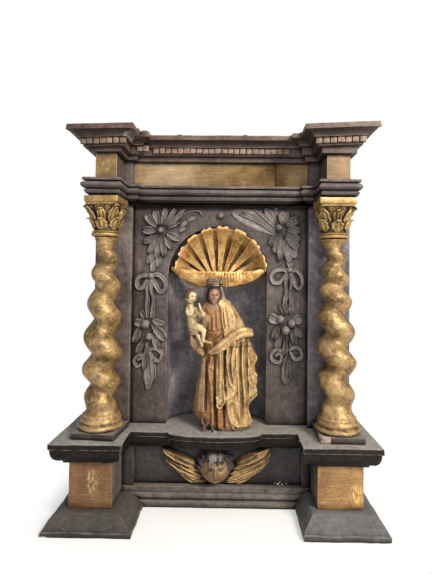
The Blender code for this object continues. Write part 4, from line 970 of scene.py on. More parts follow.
# the lip: a swag that hangs from the hinge, deepest in the middle, its ends swept up into the lowest ribs
LIP_FROM, LIP_TO = -0.1245, 0.1185
lip = bmesh.ops.create_grid(bm, x_segments=120, y_segments=30, size=0.5)
for vert in lip["verts"]:
    u, t = vert.co.x + 0.5, vert.co.y + 0.5              # along, and from the upper edge round under
    x = LIP_FROM + (LIP_TO - LIP_FROM) * u
    s = (x + 0.003) / 0.1215
    top = 0.5715 + 0.0120 * max(0.0, (abs(s) - 0.42) / 0.58) ** 1.5
    foot = 0.5325 + 0.0440 * abs(s) ** 2.5
    front = 0.020 - 0.0125 * (1 - s * s) ** 0.5
    ends = min(1.0, (1 - abs(s)) / 0.04)
    grooved = min(1.0, max(0.0, (x + 0.012) / 0.008)) * min(1.0, max(0.0, (0.062 - x) / 0.012))
    groove = 0.0017 * abs(sin(pi * x / 0.0072)) ** 0.7 * grooved
    outer = min(1.0, max(0.0, (abs(s) - 0.35) / 0.2))
    sweep = 0.0016 * abs(sin(pi * (1.9 * t + 1.1 * abs(s)))) ** 0.6 * outer
    if t < 0.66:
        part = t / 0.66
        y = front + 0.012 * (1 - sin(pi * min(1.0, 0.25 + part * 0.62))) + groove + sweep
        z = top + (foot - top) * part
    else:
        part = (t - 0.66) / 0.34
        y = front + 0.004 + 0.046 * part * ends
        z = foot + 0.010 * part
    vert.co = (x, y, z)
bmesh.ops.solidify(bm, geom=list({f for v in lip["verts"] for f in v.link_faces}), thickness=0.003)
weather(bm, 0.0011, 0.016, 3.0)
hold(bm, y=(SHELL_FRONT, SHELL_BACK))
piece("shell_hood", bm, shell_gilt, ["shell"], smooth=60)

# ---------------------------------------------------------------- carved garlands and boss
# A spray of flowers, leaves, a ribbon bow and a sheaf of fruit hangs at each side of the shell. Both are
# limewood carved in the round in front and glued flat to the board, then painted over with it.
carving_paint = aged_paint("thick_grey_brown_carving_paint", "#4b423f", "#807570", "#958c85", UPRIGHT,
                           edge_wear=0.35, dust=0.4, bare="#a0958c", pale_specks=0.6, specular=0.6,
                           hollow_shade=0.08)
BOARD_Y = 16.8                   # face of the niche board, mm
SPRAY_FRONT = 2.8                # the carver's blank ended here, mm


def leaf(bm, root, tip, width, rise, bow=0.0, rim=0.6, cuts=0, back=BOARD_Y, cupped=0.0, point=1.5):
    """One leaf or petal on a board, in mm: a raised rim round a hollow, a vein, and cuts along its edge."""
    start, end = Vector((root[0], 0, root[1])), Vector((tip[0], 0, tip[1]))
    along = end - start
    side = Vector((-along.z, 0, along.x)).normalized()
    grid = bmesh.ops.create_grid(bm, x_segments=14, y_segments=22, size=0.5)
    for vert in grid["verts"]:
        u, v = vert.co.x * 2, vert.co.y + 0.5
        shape = sin(pi * min(1.0, v) ** point) ** 0.55
        nick = 1 - 0.24 * abs(sin(pi * cuts * v)) ** 4 if cuts else 1.0
        edge = min(1.0, (1 - abs(u)) / 0.16)
        ends = min(1.0, v / 0.08) * min(1.0, (1 - v) / 0.06)
        high = 1 - rim + rim * exp(-((abs(u) - 0.66) / 0.24) ** 2) + 0.30 * rim * exp(-(u / 0.10) ** 2)
        high += 0.10 * rim * cos(pi * cuts * v * 2 + 3 * abs(u)) if cuts else 0.0
        high *= 0.60 + 0.40 * sin(pi * min(1.0, v * 0.75)) + cupped * v
        out = rise * high * (edge * ends) ** 0.5
        middle = start + along * v + side * (bow * sin(pi * v) + u * width / 2 * shape * nick)
        vert.co = Vector((middle.x, back + 0.4 - out - 0.4 * edge, middle.z))
    return grid["verts"]


def dome(bm, centre, radii, back=BOARD_Y, segments=20):
    """A berry or boss that stands half out of the board."""
    spot = bmesh.ops.create_uvsphere(bm, u_segments=segments, v_segments=segments * 2 // 3, radius=1.0)
    for vert in spot["verts"]:
        vert.co = Vector((centre[0] + vert.co.x * radii[0], back + vert.co.y * radii[1],
                          centre[1] + vert.co.z * radii[2]))
    return spot["verts"]


def eased(points, k, t):
    """A place between point k and the next one, on a smooth curve through all the points."""
    p0, p1 = points[max(k - 1, 0)], points[k]
    p2, p3 = points[k + 1], points[min(k + 2, len(points) - 1)]
    return 0.5 * (2 * p1 + (p2 - p0) * t + (2 * p0 - 5 * p1 + 4 * p2 - p3) * t * t
                  + (3 * p1 - p0 - 3 * p2 + p3) * t ** 3)


def to_metres(bm):
    """Scales a mesh made in millimetres."""
    for vert in bm.verts:
        vert.co *= 0.001


def ribbon(bm, path, wide, deep, back=BOARD_Y, lift=4.0, twist=0.0):
    """A carved ribbon: a flat bar that runs over the board and may twist as it goes."""
    points = [Vector(p) for p in path]
    smooth_path = [eased(points, k, j / 8) for k in range(len(points) - 1) for j in range(8)] + [points[-1]]
    strip = bmesh.ops.create_grid(bm, x_segments=10, y_segments=len(smooth_path) - 1, size=0.5)
    last = len(smooth_path) - 1
    for vert in strip["verts"]:
        k = round((vert.co.y + 0.5) * last)
        u = vert.co.x * 2
        ahead = smooth_path[min(k + 1, last)] - smooth_path[max(k - 1, 0)]
        side = Vector((-ahead.y, ahead.x)).normalized()
        a = twist * k / last
        half = wide / 2 * (0.62 + 0.38 * abs(cos(a)))
        high = lift + deep * (0.50 + 0.50 * exp(-((abs(u) - 0.66) / 0.24) ** 2)) + 0.7 * cos(pi * u + a)
        edge = min(1.0, (1 - abs(u)) / 0.2)
        spot = smooth_path[k] + side * u * half
        vert.co = Vector((spot.x, back + 0.3 - high * edge ** 0.4, spot.y))


SPRAYS = {
    "left": dict(
        # root, tip, width, rise, bow, rim, cuts
        leaves=[
            ([(-168, 619), (-170, 566)], 15, 5, 1, 0.4, 0), ([(-161, 629), (-185, 589)], 17, 6, 1, 0.45, 3),
            ([(-153, 624), (-155, 579)], 14, 6, 0, 0.45, 0), ([(-84, 698), (-64, 709)], 10, 3.5, 1, 0.3, 0),
            ([(-102, 683), (-84, 698)], 11, 5, 0, 0.3, 0), ([(-106, 673), (-86, 681)], 11, 5, 0, 0.3, 0),
            ([(-126, 665), (-106, 650)], 13, 7, 0, 0.3, 0), ([(-137, 677), (-102, 695)], 13, 7, 1, 0.45, 3),
            ([(-142, 682), (-89, 731)], 13, 6, -4, 0.4, 0), ([(-144, 685), (-112, 733)], 14, 7, -2, 0.45, 0),
            ([(-149, 685), (-137, 733)], 15, 8, 0, 0.4, 0), ([(-154, 685), (-165, 725)], 18, 9, 1, 0.45, 0),
            ([(-159, 680), (-190, 715)], 20, 8, 1, 0.45, 0), ([(-161, 672), (-197, 674)], 21, 9, 0, 0.5, 0),
            ([(-159, 664), (-194, 641)], 18, 8, 1, 0.45, 3), ([(-156, 662), (-181, 614)], 17, 9, 1, 0.45, 0),
            ([(-151, 659), (-160, 602)], 16, 8, 0, 0.4, 0), ([(-146, 660), (-140, 607)], 15, 9, 0, 0.45, 0),
            ([(-141, 662), (-121, 627)], 16, 9, -1, 0.5, 0), ([(-139, 670), (-101, 650)], 18, 8, -1, 0.5, 0),
            # sheaf under the bow
            ([(-186, 446), (-196, 474)], 11, 8, 0, 0.4, 0), ([(-178, 447), (-216, 444)], 20, 7, 5, 0.5, 0),
            ([(-170, 442), (-132, 398)], 22, 10, -1, 0.6, 0),
            ([(-170, 452), (-135, 440)], 15, 6, -4, 0.3, 0), ([(-167, 422), (-152, 375)], 17, 9, 0, 0.55, 0),
            ([(-200, 434), (-213, 389)], 18, 9, 1, 0.6, 0), ([(-192, 399), (-204, 362)], 17, 8, 0, 0.5, 0),
            ([(-180, 399), (-175, 271)], 27, 7, 1, 0.45, 4), ([(-172, 380), (-160, 293)], 13, 8, 1, 0.4, 0),
            ([(-182, 384), (-186, 320)], 12, 8, 0, 0.4, 0)],
        boss=((-151, 673), 8.0),
        berries=[((-186, 437), 13.0), ((-176, 406), 11.0), ((-173, 558), 9.5)],
        ribbons=[([(-110, 706), (-92, 717), (-72, 724), (-54, 723), (-47, 713)], 3.6, 1.0, 0),
                 ([(-172, 560), (-157, 562), (-143, 553), (-135, 538), (-139, 523), (-150, 520), (-159, 532),
                   (-166, 544), (-173, 555)],
                  12.5, 4.5, 0),
                 ([(-177, 559), (-192, 560), (-205, 554), (-209, 541), (-204, 529), (-193, 529), (-187, 539),
                   (-181, 550)], 12.5, 4.5, 0),
                 ([(-178, 549), (-183, 529), (-180, 504), (-181, 479), (-179, 454)], 13.0, 3.5, 5.0),
                 ([(-171, 546), (-172, 524), (-166, 499), (-167, 474), (-169, 454)], 12.0, 4.5, 4.0),
                 ([(-172, 375), (-157, 377), (-143, 365), (-149, 348), (-163, 352), (-172, 370)], 10.0, 4.5,
                  0),
                 ([(-184, 360), (-201, 361), (-212, 347), (-203, 333), (-191, 342), (-191, 354),
                   (-204, 349)], 9.0, 4.5, 0)]),
    "right": dict(
        leaves=[
            ([(142, 663), (26, 725)], 38, 3.0, -6, 0.6, 0), ([(142, 665), (41, 720)], 9, 4.6, -7, 0.3, 0),
            ([(142, 670), (49, 727)], 9, 4.2, -3, 0.3, 0), ([(142, 675), (64, 730)], 22, 3.6, -3, 0.6, 5),
            ([(142, 680), (81, 733)], 9, 5.2, -2, 0.3, 0), ([(142, 688), (109, 735)], 20, 5, -1, 0.6, 3),
            ([(142, 665), (125, 637)], 16, 9, -3, 0.5, 0), ([(147, 663), (137, 617)], 17, 8, -1, 0.35, 0),
            ([(152, 663), (150, 598)], 17, 10, 0, 0.3, 0), ([(160, 663), (192, 606)], 24, 7, 0, 0.35, 4),
            ([(160, 660), (177, 593)], 19, 8, -1, 0.4, 0), ([(162, 668), (197, 628)], 20, 8, 0, 0.4, 0),
            ([(164, 673), (202, 651)], 20, 8, -1, 0.45, 0), ([(164, 680), (202, 676)], 20, 9, 0, 0.45, 0),
            ([(162, 688), (197, 708)], 23, 8, 0, 0.5, 0), ([(154, 690), (162, 726)], 26, 9, 0, 0.5, 0),
            ([(170, 618), (178, 578)], 16, 6, 0, 0.4, 0),
            # sheaf under the bow
            ([(163, 463), (151, 493)], 11, 8, 0, 0.45, 0), ([(168, 463), (166, 496)], 11, 8, 0, 0.4, 0),
            ([(176, 463), (183, 493)], 11, 8, 0, 0.45, 0), ([(154, 448), (124, 463)], 24, 8, 3, 0.5, 0),
            ([(178, 449), (206, 461)], 24, 8, -3, 0.5, 0), ([(151, 443), (134, 401)], 18, 10, -1, 0.6, 0),
            ([(186, 436), (208, 409)], 17, 7, 0, 0.45, 0), ([(181, 434), (189, 389)], 17, 10, 0, 0.6, 0),
            ([(154, 414), (142, 379)], 16, 8, 0, 0.5, 0), ([(165, 409), (164, 362)], 15, 9, 0, 0.5, 0),
            ([(176, 404), (186, 375)], 14, 8, 0, 0.5, 0), ([(169, 374), (165, 290)], 25, 7, 1, 0.5, 4),
            ([(172, 364), (175, 305)], 11, 9, -1, 0.4, 0)],
        boss=((148, 682), 9.5),
        berries=[((153, 453), 12.0), ((181, 443), 12.0), ((166, 425), 13.0), ((175, 577), 9.5)],
        ribbons=[([(170, 573), (158, 578), (140, 575), (129, 562), (134, 547), (148, 545), (157, 555),
                   (168, 568)], 12.0, 4.5, 0),
                 ([(178, 575), (190, 576), (203, 563), (206, 543), (199, 531), (189, 538), (184, 556),
                   (176, 572)], 11.5, 4.5, 0),
                 ([(170, 568), (164, 545), (168, 520), (163, 498), (166, 476)], 13.0, 3.5, 5.0),
                 ([(178, 565), (179, 543), (175, 521), (179, 498), (177, 476)], 12.0, 4.5, 4.0),
                 ([(162, 374), (144, 379), (131, 367), (135, 351), (150, 348), (156, 359), (153, 370),
                   (140, 364)], 10.5, 4.5, 0),
                 ([(174, 377), (189, 386), (204, 377), (205, 361), (192, 355), (182, 363), (179, 374)], 10.5,
                  4.5, 0)]),
}
for name, spray in SPRAYS.items():
    bm = bmesh.new()
    for k, (path, width, rise, bow_by, rim, cuts) in enumerate(spray["leaves"]):
        leaf(bm, path[0], path[1], width * 1.2, rise * (1 + 0.12 * (k % 3)), bow_by, rim, cuts,
             point=1.0 if rim < 0.35 else 1.35)
    for path, wide, deep, twist in spray["ribbons"]:
        ribbon(bm, path, wide, deep, twist=twist)
    (x, z), size = spray["boss"]
    dome(bm, (x, z), (size * 1.15, 9.0, size * 1.15), segments=24)
    dome(bm, (x, z), (size, 13.6, size), segments=24)
    for (x, z), size in spray["berries"]:
        dome(bm, (x, z), (size, min(13.2, 7.0 + size * 0.6), size))
    weather(bm, 0.7, 9.0, 2.0)
    hold(bm, y=(SPRAY_FRONT, FAR))
    to_metres(bm)
    piece("garland_" + name + "_carving", bm, carving_paint, ["garland_" + name], smooth=70)

# the ball boss at the top of the board, turned, with a ring round its foot
bm = bmesh.new()
dome(bm, (0, 712), (9.4, 12.0, 9.4), segments=28)
dome(bm, (0, 712), (10.6, 3.0, 10.6), segments=28)
to_metres(bm)
piece("ball_boss", bm, carving_paint, ["boss"])

# bare white gesso where the paint has chipped off the boards, and two crumbs of it that lie at the foot of
# the statue: each a ragged fleck 2 to 6 mm across
CHIPS = [((141, 53), 8.5, 1.6), ((149, 51), 8.5, 2.5), ((159, 50), 8.5, 2.2), ((154, 56), 8.5, 1.2),
         ((169, 52), 8.5, 1.3), ((141, 738), 16.7, 2.6), ((140, 732), 16.7, 1.7),
         ((-13, 34), 8.7, 1.6), ((-9.0, 194.6), -43.0, 3.4), ((-17.0, 193.4), -40.0, 1.8)]
bm = bmesh.new()
for k, (spot, face_y, size) in enumerate(CHIPS):
    for vert in dome(bm, spot, (size, 0.5, size * 0.8), back=face_y, segments=12):
        vert.co.x += size * 0.5 * noise.noise(vert.co * 0.7 + Vector((k, 0, 0)))
        vert.co.z += size * 0.5 * noise.noise(vert.co * 0.7 + Vector((0, k, 9)))
to_metres(bm)
gesso = aged_paint("chipped_white_gesso", "#cfc8be", "#f4f0ea", "#e6e1da", UPRIGHT, edge_wear=0.0, dust=0.1,
                   hollow_shade=0.9)
piece("gesso_chips", bm, gesso)

# ---------------------------------------------------------------- statue
# The Virgin stands holding the Child, both carved from one block of limewood and gilt; flesh, hair and
# veil are painted. Working sizes here are millimetres: x across the niche, z over the floor, y to the back.
STATUE_Y = 3.0                   # middle plane of the block
LEDGE_TOP = 191.9
# outline of the clothed body: height, left edge, right edge, depth in front, depth behind
BODY = [(192, -36, 82, 43, 22), (206, -44, 83, 43, 24), (216, -53, 81, 42, 25), (228, -62, 77, 41, 26),
        (236, -62, 75, 41, 26), (250, -60, 75, 40, 26), (262, -59, 84, 40, 26), (273, -57, 95, 39, 26),
        (289, -55, 90, 38, 26), (306, -53, 96, 37, 26), (322, -50, 91, 37, 26), (340, -48, 89, 36, 26),
        (355, -45, 92, 35, 25), (368, -42, 92, 35, 25), (386, -40, 84, 34, 24), (404, -39, 76, 32, 24),
        (428, -38, 70, 28, 23), (440, -38, 62, 26, 22), (455, -40, 55, 25, 21), (470, -42, 46, 24, 20),
        (485, -41, 36, 22, 18), (495, -36, 28, 18, 16), (503, -28, 16, 14, 13), (510, -22, 3, 9, 10)]
# ridges and furrows of the cloth: path from the top down, half width, height (a furrow is negative)
FOLDS = [
    ([(-40, 357), (-44, 309), (-50, 242)], 5.0, 3.5), ([(-30, 362), (-29, 310), (-31, 233)], 3.0, -8.0),
    ([(-20, 383), (-18, 359), (-25, 335), (-17, 300), (-14, 259), (-11, 198)], 5.0, 6.5),
    ([(-32, 347), (-10, 335)], 2.2, 2.5), ([(-6, 402), (-8, 324), (-7, 274), (-4, 194)], 2.2, -8.0),
    ([(3, 403), (6, 324), (4, 272)], 4.4, 7.0), ([(15, 408), (15, 317), (19, 275)], 2.2, -9.0),
    ([(25, 403), (20, 369), (23, 336), (28, 310), (38, 291)], 3.0, 6.0),
    ([(39, 407), (32, 364), (34, 331), (41, 298)], 2.8, 4.5), ([(30, 402), (27, 340), (33, 302)], 1.4, -3.0),
    ([(49, 417), (44, 364), (48, 316), (51, 264), (54, 207)], 3.0, 5.5),
    ([(44, 412), (39, 335), (43, 292)], 1.6, -4.0),
    ([(59, 421), (57, 354), (61, 306), (65, 258), (73, 213)], 3.0, 5.0),
    ([(53, 421), (52, 330), (58, 258), (63, 213)], 1.8, -4.5),
    ([(66, 420), (68, 329), (72, 266)], 2.8, -7.0), ([(71, 403), (84, 376), (91, 362)], 3.2, 5.0),
    ([(72, 352), (84, 330), (94, 313)], 3.2, 5.5), ([(75, 306), (87, 287), (95, 272)], 3.0, 4.5),
    ([(72, 374), (82, 347)], 2.4, -5.0), ([(75, 323), (85, 296)], 2.4, -5.0),
    ([(3, 244), (4, 195)], 4.2, 6.0), ([(15, 259), (16, 195)], 2.4, -8.0),
    ([(24, 264), (27, 231), (39, 193)], 4.2, 6.0), ([(34, 260), (44, 218)], 2.0, -3.5),
    ([(43, 274), (48, 236), (58, 208)], 3.4, 3.5), ([(75, 249), (78, 228), (82, 211)], 2.6, 4.0),
    ([(-24, 466), (-25, 429)], 1.8, 2.4), ([(-15, 466), (-14, 427)], 1.8, 2.6),
    ([(-5, 471), (-2, 430)], 1.9, 2.6), ([(-19, 463), (-19, 427)], 1.2, -1.6),
    ([(-10, 464), (-8, 427)], 1.2, -1.6), ([(-31, 427), (-12, 425), (10, 432)], 1.6, -2.2),
    ([(-32, 484), (-26, 473), (-17, 469), (-9, 473), (-4, 481)], 1.5, 2.6),
    ([(21, 495), (34, 474), (41, 445)], 5.5, 4.0), ([(12, 488), (18, 464), (22, 434)], 2.6, -3.0),
    ([(49, 470), (59, 448), (66, 431)], 3.0, 2.0), ([(9, 485), (10, 459), (15, 432)], 1.5, -6.0),
    ([(5, 490), (6, 459), (11, 432)], 1.7, 4.0), ([(-28, 411), (-18, 394), (-13, 377)], 3.0, 2.5),
    ([(-2, 423), (-14, 401)], 2.2, 2.0)]
# sheets of cloth that lie over the robe: outline, how far they stand out
LAYERS = [
    ([(-50, 366), (-30, 362), (-32, 234), (-62, 233)], 4.0),
    ([(-5, 497), (14, 510), (34, 505), (56, 483), (76, 440), (105, 394), (15, 393), (9, 444), (4, 480)],
     4.5),
    ([(8, 381), (15, 415), (105, 450), (111, 267), (75, 253), (70, 241), (88, 200), (47, 200), (30, 214),
      (14, 261)], 5.0),
    ([(-9, 407), (18, 427), (44, 432), (43, 301), (45, 287), (36, 273), (19, 265), (14, 251), (3, 244),
      (-3, 251), (0, 265), (-6, 274)], 6.0)]


def profile_at(table, height):
    """Reads the body outline at a height, eased from row to row."""
    columns = np.array(table, dtype=float).T
    return [np.interp(height, columns[0], column) for column in columns[1:]]


def nearest_on(path, x, z):
    """Distance from each point of a field to a broken line, and the share of its length passed."""
    points = np.array(path, dtype=float)
    lengths = np.hypot(*np.diff(points, axis=0).T)
    passed = np.concatenate([[0.0], np.cumsum(lengths)]) / lengths.sum()
    best = np.full(x.shape, 1e9)
    share = np.zeros(x.shape)
    for k in range(len(points) - 1):
        step = points[k + 1] - points[k]
        t = np.clip(((x - points[k][0]) * step[0] + (z - points[k][1]) * step[1]) / (step @ step), 0, 1)
        away = np.hypot(x - points[k][0] - t * step[0], z - points[k][1] - t * step[1])
        closer = away < best
        best = np.where(closer, away, best)
        share = np.where(closer, passed[k] + t * (passed[k + 1] - passed[k]), share)
    return best, share


def inside(outline, x, z):
    """Signed distance to an outline, positive inside."""
    points = np.array(list(outline) + [outline[0]], dtype=float)
    away, _ = nearest_on(points, x, z)
    within = np.zeros(x.shape, dtype=bool)
    for (x0, z0), (x1, z1) in zip(points, points[1:]):
        if z0 != z1:
            crosses = ((z0 > z) != (z1 > z)) & (x < x0 + (z - z0) * (x1 - x0) / (z1 - z0))
            within ^= crosses
    return np.where(within, away, -away)


def relief_of_cloth(x, z):
    """How far the folds and the sheets of cloth stand out at each point, in millimetres."""
    height = np.zeros(x.shape)
    for outline, rise in LAYERS:
        edge = np.clip(inside(outline, x, z) / 1.6 + 0.5, 0, 1)
        rolled = np.exp(-((inside(outline, x, z) - 1.8) / 1.6) ** 2)
        height += rise * edge + 1.1 * rolled
    for path, width, rise in FOLDS:
        away, share = nearest_on(path, x, z)
        fade = np.clip(np.minimum(share, 1 - share) * 7 + 0.35, 0, 1)
        height += rise * fade * np.exp(-(away / width) ** 2)
    return height


def rounded_bar(bm, path, radii, sides=14):
    """A closed bar in millimetres through (x, y, z) points, eased between them, with ball ends."""
    points = [Vector(p) for p in path]
    middle, thick = [], []
    for k in range(len(points) - 1):
        steps = max(2, int((points[k + 1] - points[k]).length / 2.0))
        for j in range(steps + (k == len(points) - 2)):
            middle.append(eased(points, k, j / steps))
            thick.append(radii[k] + (radii[k + 1] - radii[k]) * j / steps)
    for end, inner in ((0, 1), (-1, -2)):
        beyond = (middle[end] - middle[inner]).normalized()
        spot, radius = middle[end], thick[end]
        for a in (25, 50, 75):
            ring_at = spot + beyond * radius * sin(radians(a))
            where = 0 if end == 0 else len(middle)
            middle.insert(where, ring_at)
            thick.insert(where, radius * cos(radians(a)))
    bar = bmesh.new()
    tube(bar, middle, thick, sides=sides)
    join(bm, bar)


def fused(parts, voxel, smooths):
    """Melts overlapping closed shapes into one skin; each face keeps the finish of the shape it came from."""
    samples = KDTree(sum(len(part.verts) for part, _ in parts))
    whole = bpy.data.meshes.new("loose")
    labels = []
    joined = bmesh.new()
    for part, label in parts:
        part.verts.index_update()
        for vert in part.verts:
            samples.insert(vert.co, len(labels) + vert.index)
        labels.extend([label] * len(part.verts) if isinstance(label, int) else label)
        join(joined, part)
    joined.to_mesh(whole)
    joined.free()
    samples.balance()
    block = bpy.data.objects.new("block", whole)
    scene.collection.objects.link(block)
    melt = block.modifiers.new("melt", "REMESH")
    melt.mode = "VOXEL"
    melt.voxel_size = voxel
    bpy.context.view_layer.update()
    skin = bpy.data.meshes.new_from_object(block.evaluated_get(bpy.context.evaluated_depsgraph_get()))
    bpy.data.objects.remove(block)
    bpy.data.meshes.remove(whole)
    bm = bmesh.new()
    bm.from_mesh(skin)
    bpy.data.meshes.remove(skin)
    for _ in range(smooths):
        bmesh.ops.smooth_vert(bm, verts=bm.verts[:], factor=0.5, use_axis_x=True, use_axis_y=True,
                              use_axis_z=True)
    for face in bm.faces:
        face.material_index = labels[samples.find(face.calc_center_median())[1]]
    return bm


MANTLE, ROBE, LINING, CREAM, FLESH, HAIR, VEIL = range(7)
ROBE_AREAS = [
    [(-32, 502), (0, 488), (10, 433), (18, 392), (-8, 377), (-5, 263), (-4, 182), (-42, 181), (-43, 234),
     (-33, 236), (-32, 363), (-45, 406)],
    [(-4, 247), (15, 261), (18, 223), (18, 181), (-8, 181)],
    [(-72, 232), (-29, 235), (-28, 180), (-71, 180)]]
LINING_AREAS = [[(-64, 361), (-30, 362), (-31, 234), (-67, 234)]]
NECK_AREA = [(-31, 500), (1, 500), (-3, 483), (-13, 472), (-25, 481)]


def cloth_at(x, y, z):
    """Mantle, robe or lining, by the place on the body."""
    cloth = np.full(x.shape, MANTLE)
    for area in ROBE_AREAS:
        cloth[inside(area, x, z) > 0] = ROBE
    for area in LINING_AREAS:
        cloth[inside(area, x, z) > 0] = LINING
    cloth[inside(NECK_AREA, x, z) > 0] = FLESH
    cloth[y > STATUE_Y + 4] = MANTLE
    return cloth


body = bmesh.new()
for facing in (-1, 1):
    grid = bmesh.ops.create_grid(body, x_segments=150, y_segments=240, size=0.5)
    places = np.array([vert.co for vert in grid["verts"]])
    s = np.sin(pi * places[:, 0])
    z = LEDGE_TOP + (510 - LEDGE_TOP) * (places[:, 1] + 0.5)
    left, right, front, back = profile_at(BODY, z)
    x = (left + right) / 2 + (right - left) / 2 * s
    if facing < 0:
        y = -front * (1 - np.abs(s) ** 2.8) ** 0.5
        y -= (relief_of_cloth(x, z) - 7.0) * np.clip((1 - np.abs(s)) * 9, 0, 1) * np.clip(front / 30, 0, 1)
    else:
        y = back * (1 - np.abs(s) ** 3) ** 0.5 + 1.4 * np.cos(x / 4.5 + z / 60) * (1 - np.abs(s))
    for vert, px, py, pz in zip(grid["verts"], x, y, z):
        vert.co = (px, STATUE_Y + py, pz)
bmesh.ops.remove_doubles(body, verts=body.verts[:], dist=0.02)
bmesh.ops.holes_fill(body, edges=[e for e in body.edges if e.is_boundary], sides=0)
face_outward(body)
places = np.array([vert.co for vert in body.verts])
body_cloth = cloth_at(places[:, 0], places[:, 1], places[:, 2]).tolist()


def bars(paths):
    """Several rounded bars in one mesh."""
    bm = bmesh.new()
    for path, radii in paths:
        rounded_bar(bm, path, radii)
    return bm


def lay(path, depths):
    """Gives each (x, z) of a path its depth in front of the middle plane."""
    depths = depths if isinstance(depths, (list, tuple)) else [depths] * len(path)
    return [(x, STATUE_Y - depth, z) for (x, z), depth in zip(path, depths)]


# the mantle is gathered into a double roll across the waist and over the left forearm
rolls = bars([
    (lay([(77, 428), (63, 432), (46, 428), (30, 418), (13, 404), (-4, 390), (-23, 378)],
         [20, 28, 33, 36, 37, 36, 30]),
     [6.0, 7.0, 7.0, 6.8, 6.4, 5.6, 3.5]),
    (lay([(78, 420), (61, 420), (44, 414), (27, 403), (13, 389), (-1, 380), (-18, 373)],
         [22, 31, 36, 38, 38, 36, 30]),
     [6.0, 7.0, 7.2, 7.0, 6.2, 5.0, 3.0]),
    (lay([(78, 420), (76, 425)], [18, 14]), [7.5, 7.0]),
    (lay([(23, 386), (32, 395), (47, 403), (63, 409)], [33, 33, 31, 26]), [2.2, 2.6, 2.8, 2.4])])
# frilled edge of the mantle at her left side, and the hooked end of the fall in front
frill = bars([
    (lay([(72, 407), (79, 385), (93, 363), (88, 348), (83, 336), (92, 322), (97, 310), (91, 295), (93, 283),
          (96, 273), (78, 256), (72, 244), (77, 224), (83, 208)],
         [8, 8, 7, 9, 10, 8, 7, 9, 9, 7, 11, 13, 12, 11]), [2.0] * 3 + [1.7] * 11),
    (lay([(19, 301), (26, 294), (38, 291), (43, 285), (36, 275), (22, 269)], [40, 40, 39, 37, 39, 40]),
     [1.6, 1.8, 1.8, 1.5, 1.6, 1.4]),
    (lay([(-4, 273), (-1, 261), (-2, 252), (5, 247), (12, 255), (19, 268)], [40, 41, 42, 42, 41, 40]),
     [1.5, 1.8, 1.8, 1.8, 1.6, 1.4])])
# her right arm comes forward in a wide sleeve and holds the Child under the thigh
sleeve = bars([
    (lay([(-29, 458), (-46, 429), (-55, 402)], [6, 10, 17]), [11.0, 13.0, 14.0]),
    (lay([(-60, 403), (-52, 389), (-40, 372)], [20, 20, 18]), [11.5, 11.5, 6.5]),
    (lay([(-65, 416), (-65, 399), (-56, 382)], [26, 27, 25]), [4.0, 5.0, 4.0])])
hand = bars([(lay([(-66, 421), (-54, 422), (-42, 419)], [30, 36, 38]), [4.2, 4.0, 2.4]),
             (lay([(-64, 428), (-57, 430)], [34, 37]), [2.2, 1.6])])
feet = bars([(lay([(-27, 204), (-33, 200)], [30, 44]), [6.0, 4.6]),
             (lay([(-13, 204), (-11, 197)], [32, 45]), [5.6, 4.4]),
             (lay([(-39, 220), (-35, 209)], [28, 36]), [4.0, 4.0])])
neck = bars([(lay([(-18, 467), (-17, 494)], [3, 5]), [10.5, 9.6])])
veil = bars([(lay([(2, 534), (7, 516), (11, 501), (24, 494)], [-4, 0, 3, 4]), [4.0, 5.0, 6.0, 5.0]),
             (lay([(-17, 536), (-14, 511), (-14, 481)], [-9, -10, -9]), [13.0, 14.0, 12.0])])
locks = bars([(lay([(-29, 531), (-34, 516), (-33, 501), (-34, 486)], [-2, 2, 3, 3]), [3.6, 4.2, 4.2, 3.0]),
              (lay([(2, 526), (5, 509), (4, 494)], [4, 5, 6]), [2.4, 2.6, 1.8])])
figure = fused([(body, body_cloth), (rolls, MANTLE), (frill, MANTLE), (sleeve, LINING), (hand, FLESH),
                (feet, HAIR), (neck, FLESH), (veil, VEIL), (locks, HAIR)], 1.25, 1)

# the Child sits on her arm, one hand raised
child = [(lay([(-70, 490), (-68, 475), (-66, 459), (-64, 439)], [24, 25, 26, 25]), [8.0, 10.5, 11.5, 12.5]),
         (lay([(-64, 438), (-49, 437), (-35, 430)], [28, 36, 42]), [10.5, 9.5, 6.5]),
         (lay([(-35, 429), (-36, 417), (-37, 406)], [42, 43, 43]), [6.0, 5.0, 3.8]),
         (lay([(-36, 405), (-27, 404), (-19, 402)], [43, 46, 47]), [3.6, 3.4, 2.4]),
         (lay([(-63, 431), (-51, 422), (-44, 408), (-39, 394)], [26, 32, 38, 42]), [9.5, 7.5, 4.6, 3.4]),
         (lay([(-76, 482), (-75, 469), (-64, 463), (-57, 466)], [26, 31, 36, 37]), [5.2, 5.2, 4.2, 3.4]),
         (lay([(-60, 481), (-49, 470), (-40, 468)], [26, 31, 33]), [5.6, 7.5, 8.6]),
         (lay([(-40, 471), (-45, 483), (-48, 494)], [35, 36, 36]), [5.6, 3.4, 2.0])]
little_body = fused([(bars(child), CREAM)], 0.9, 2)


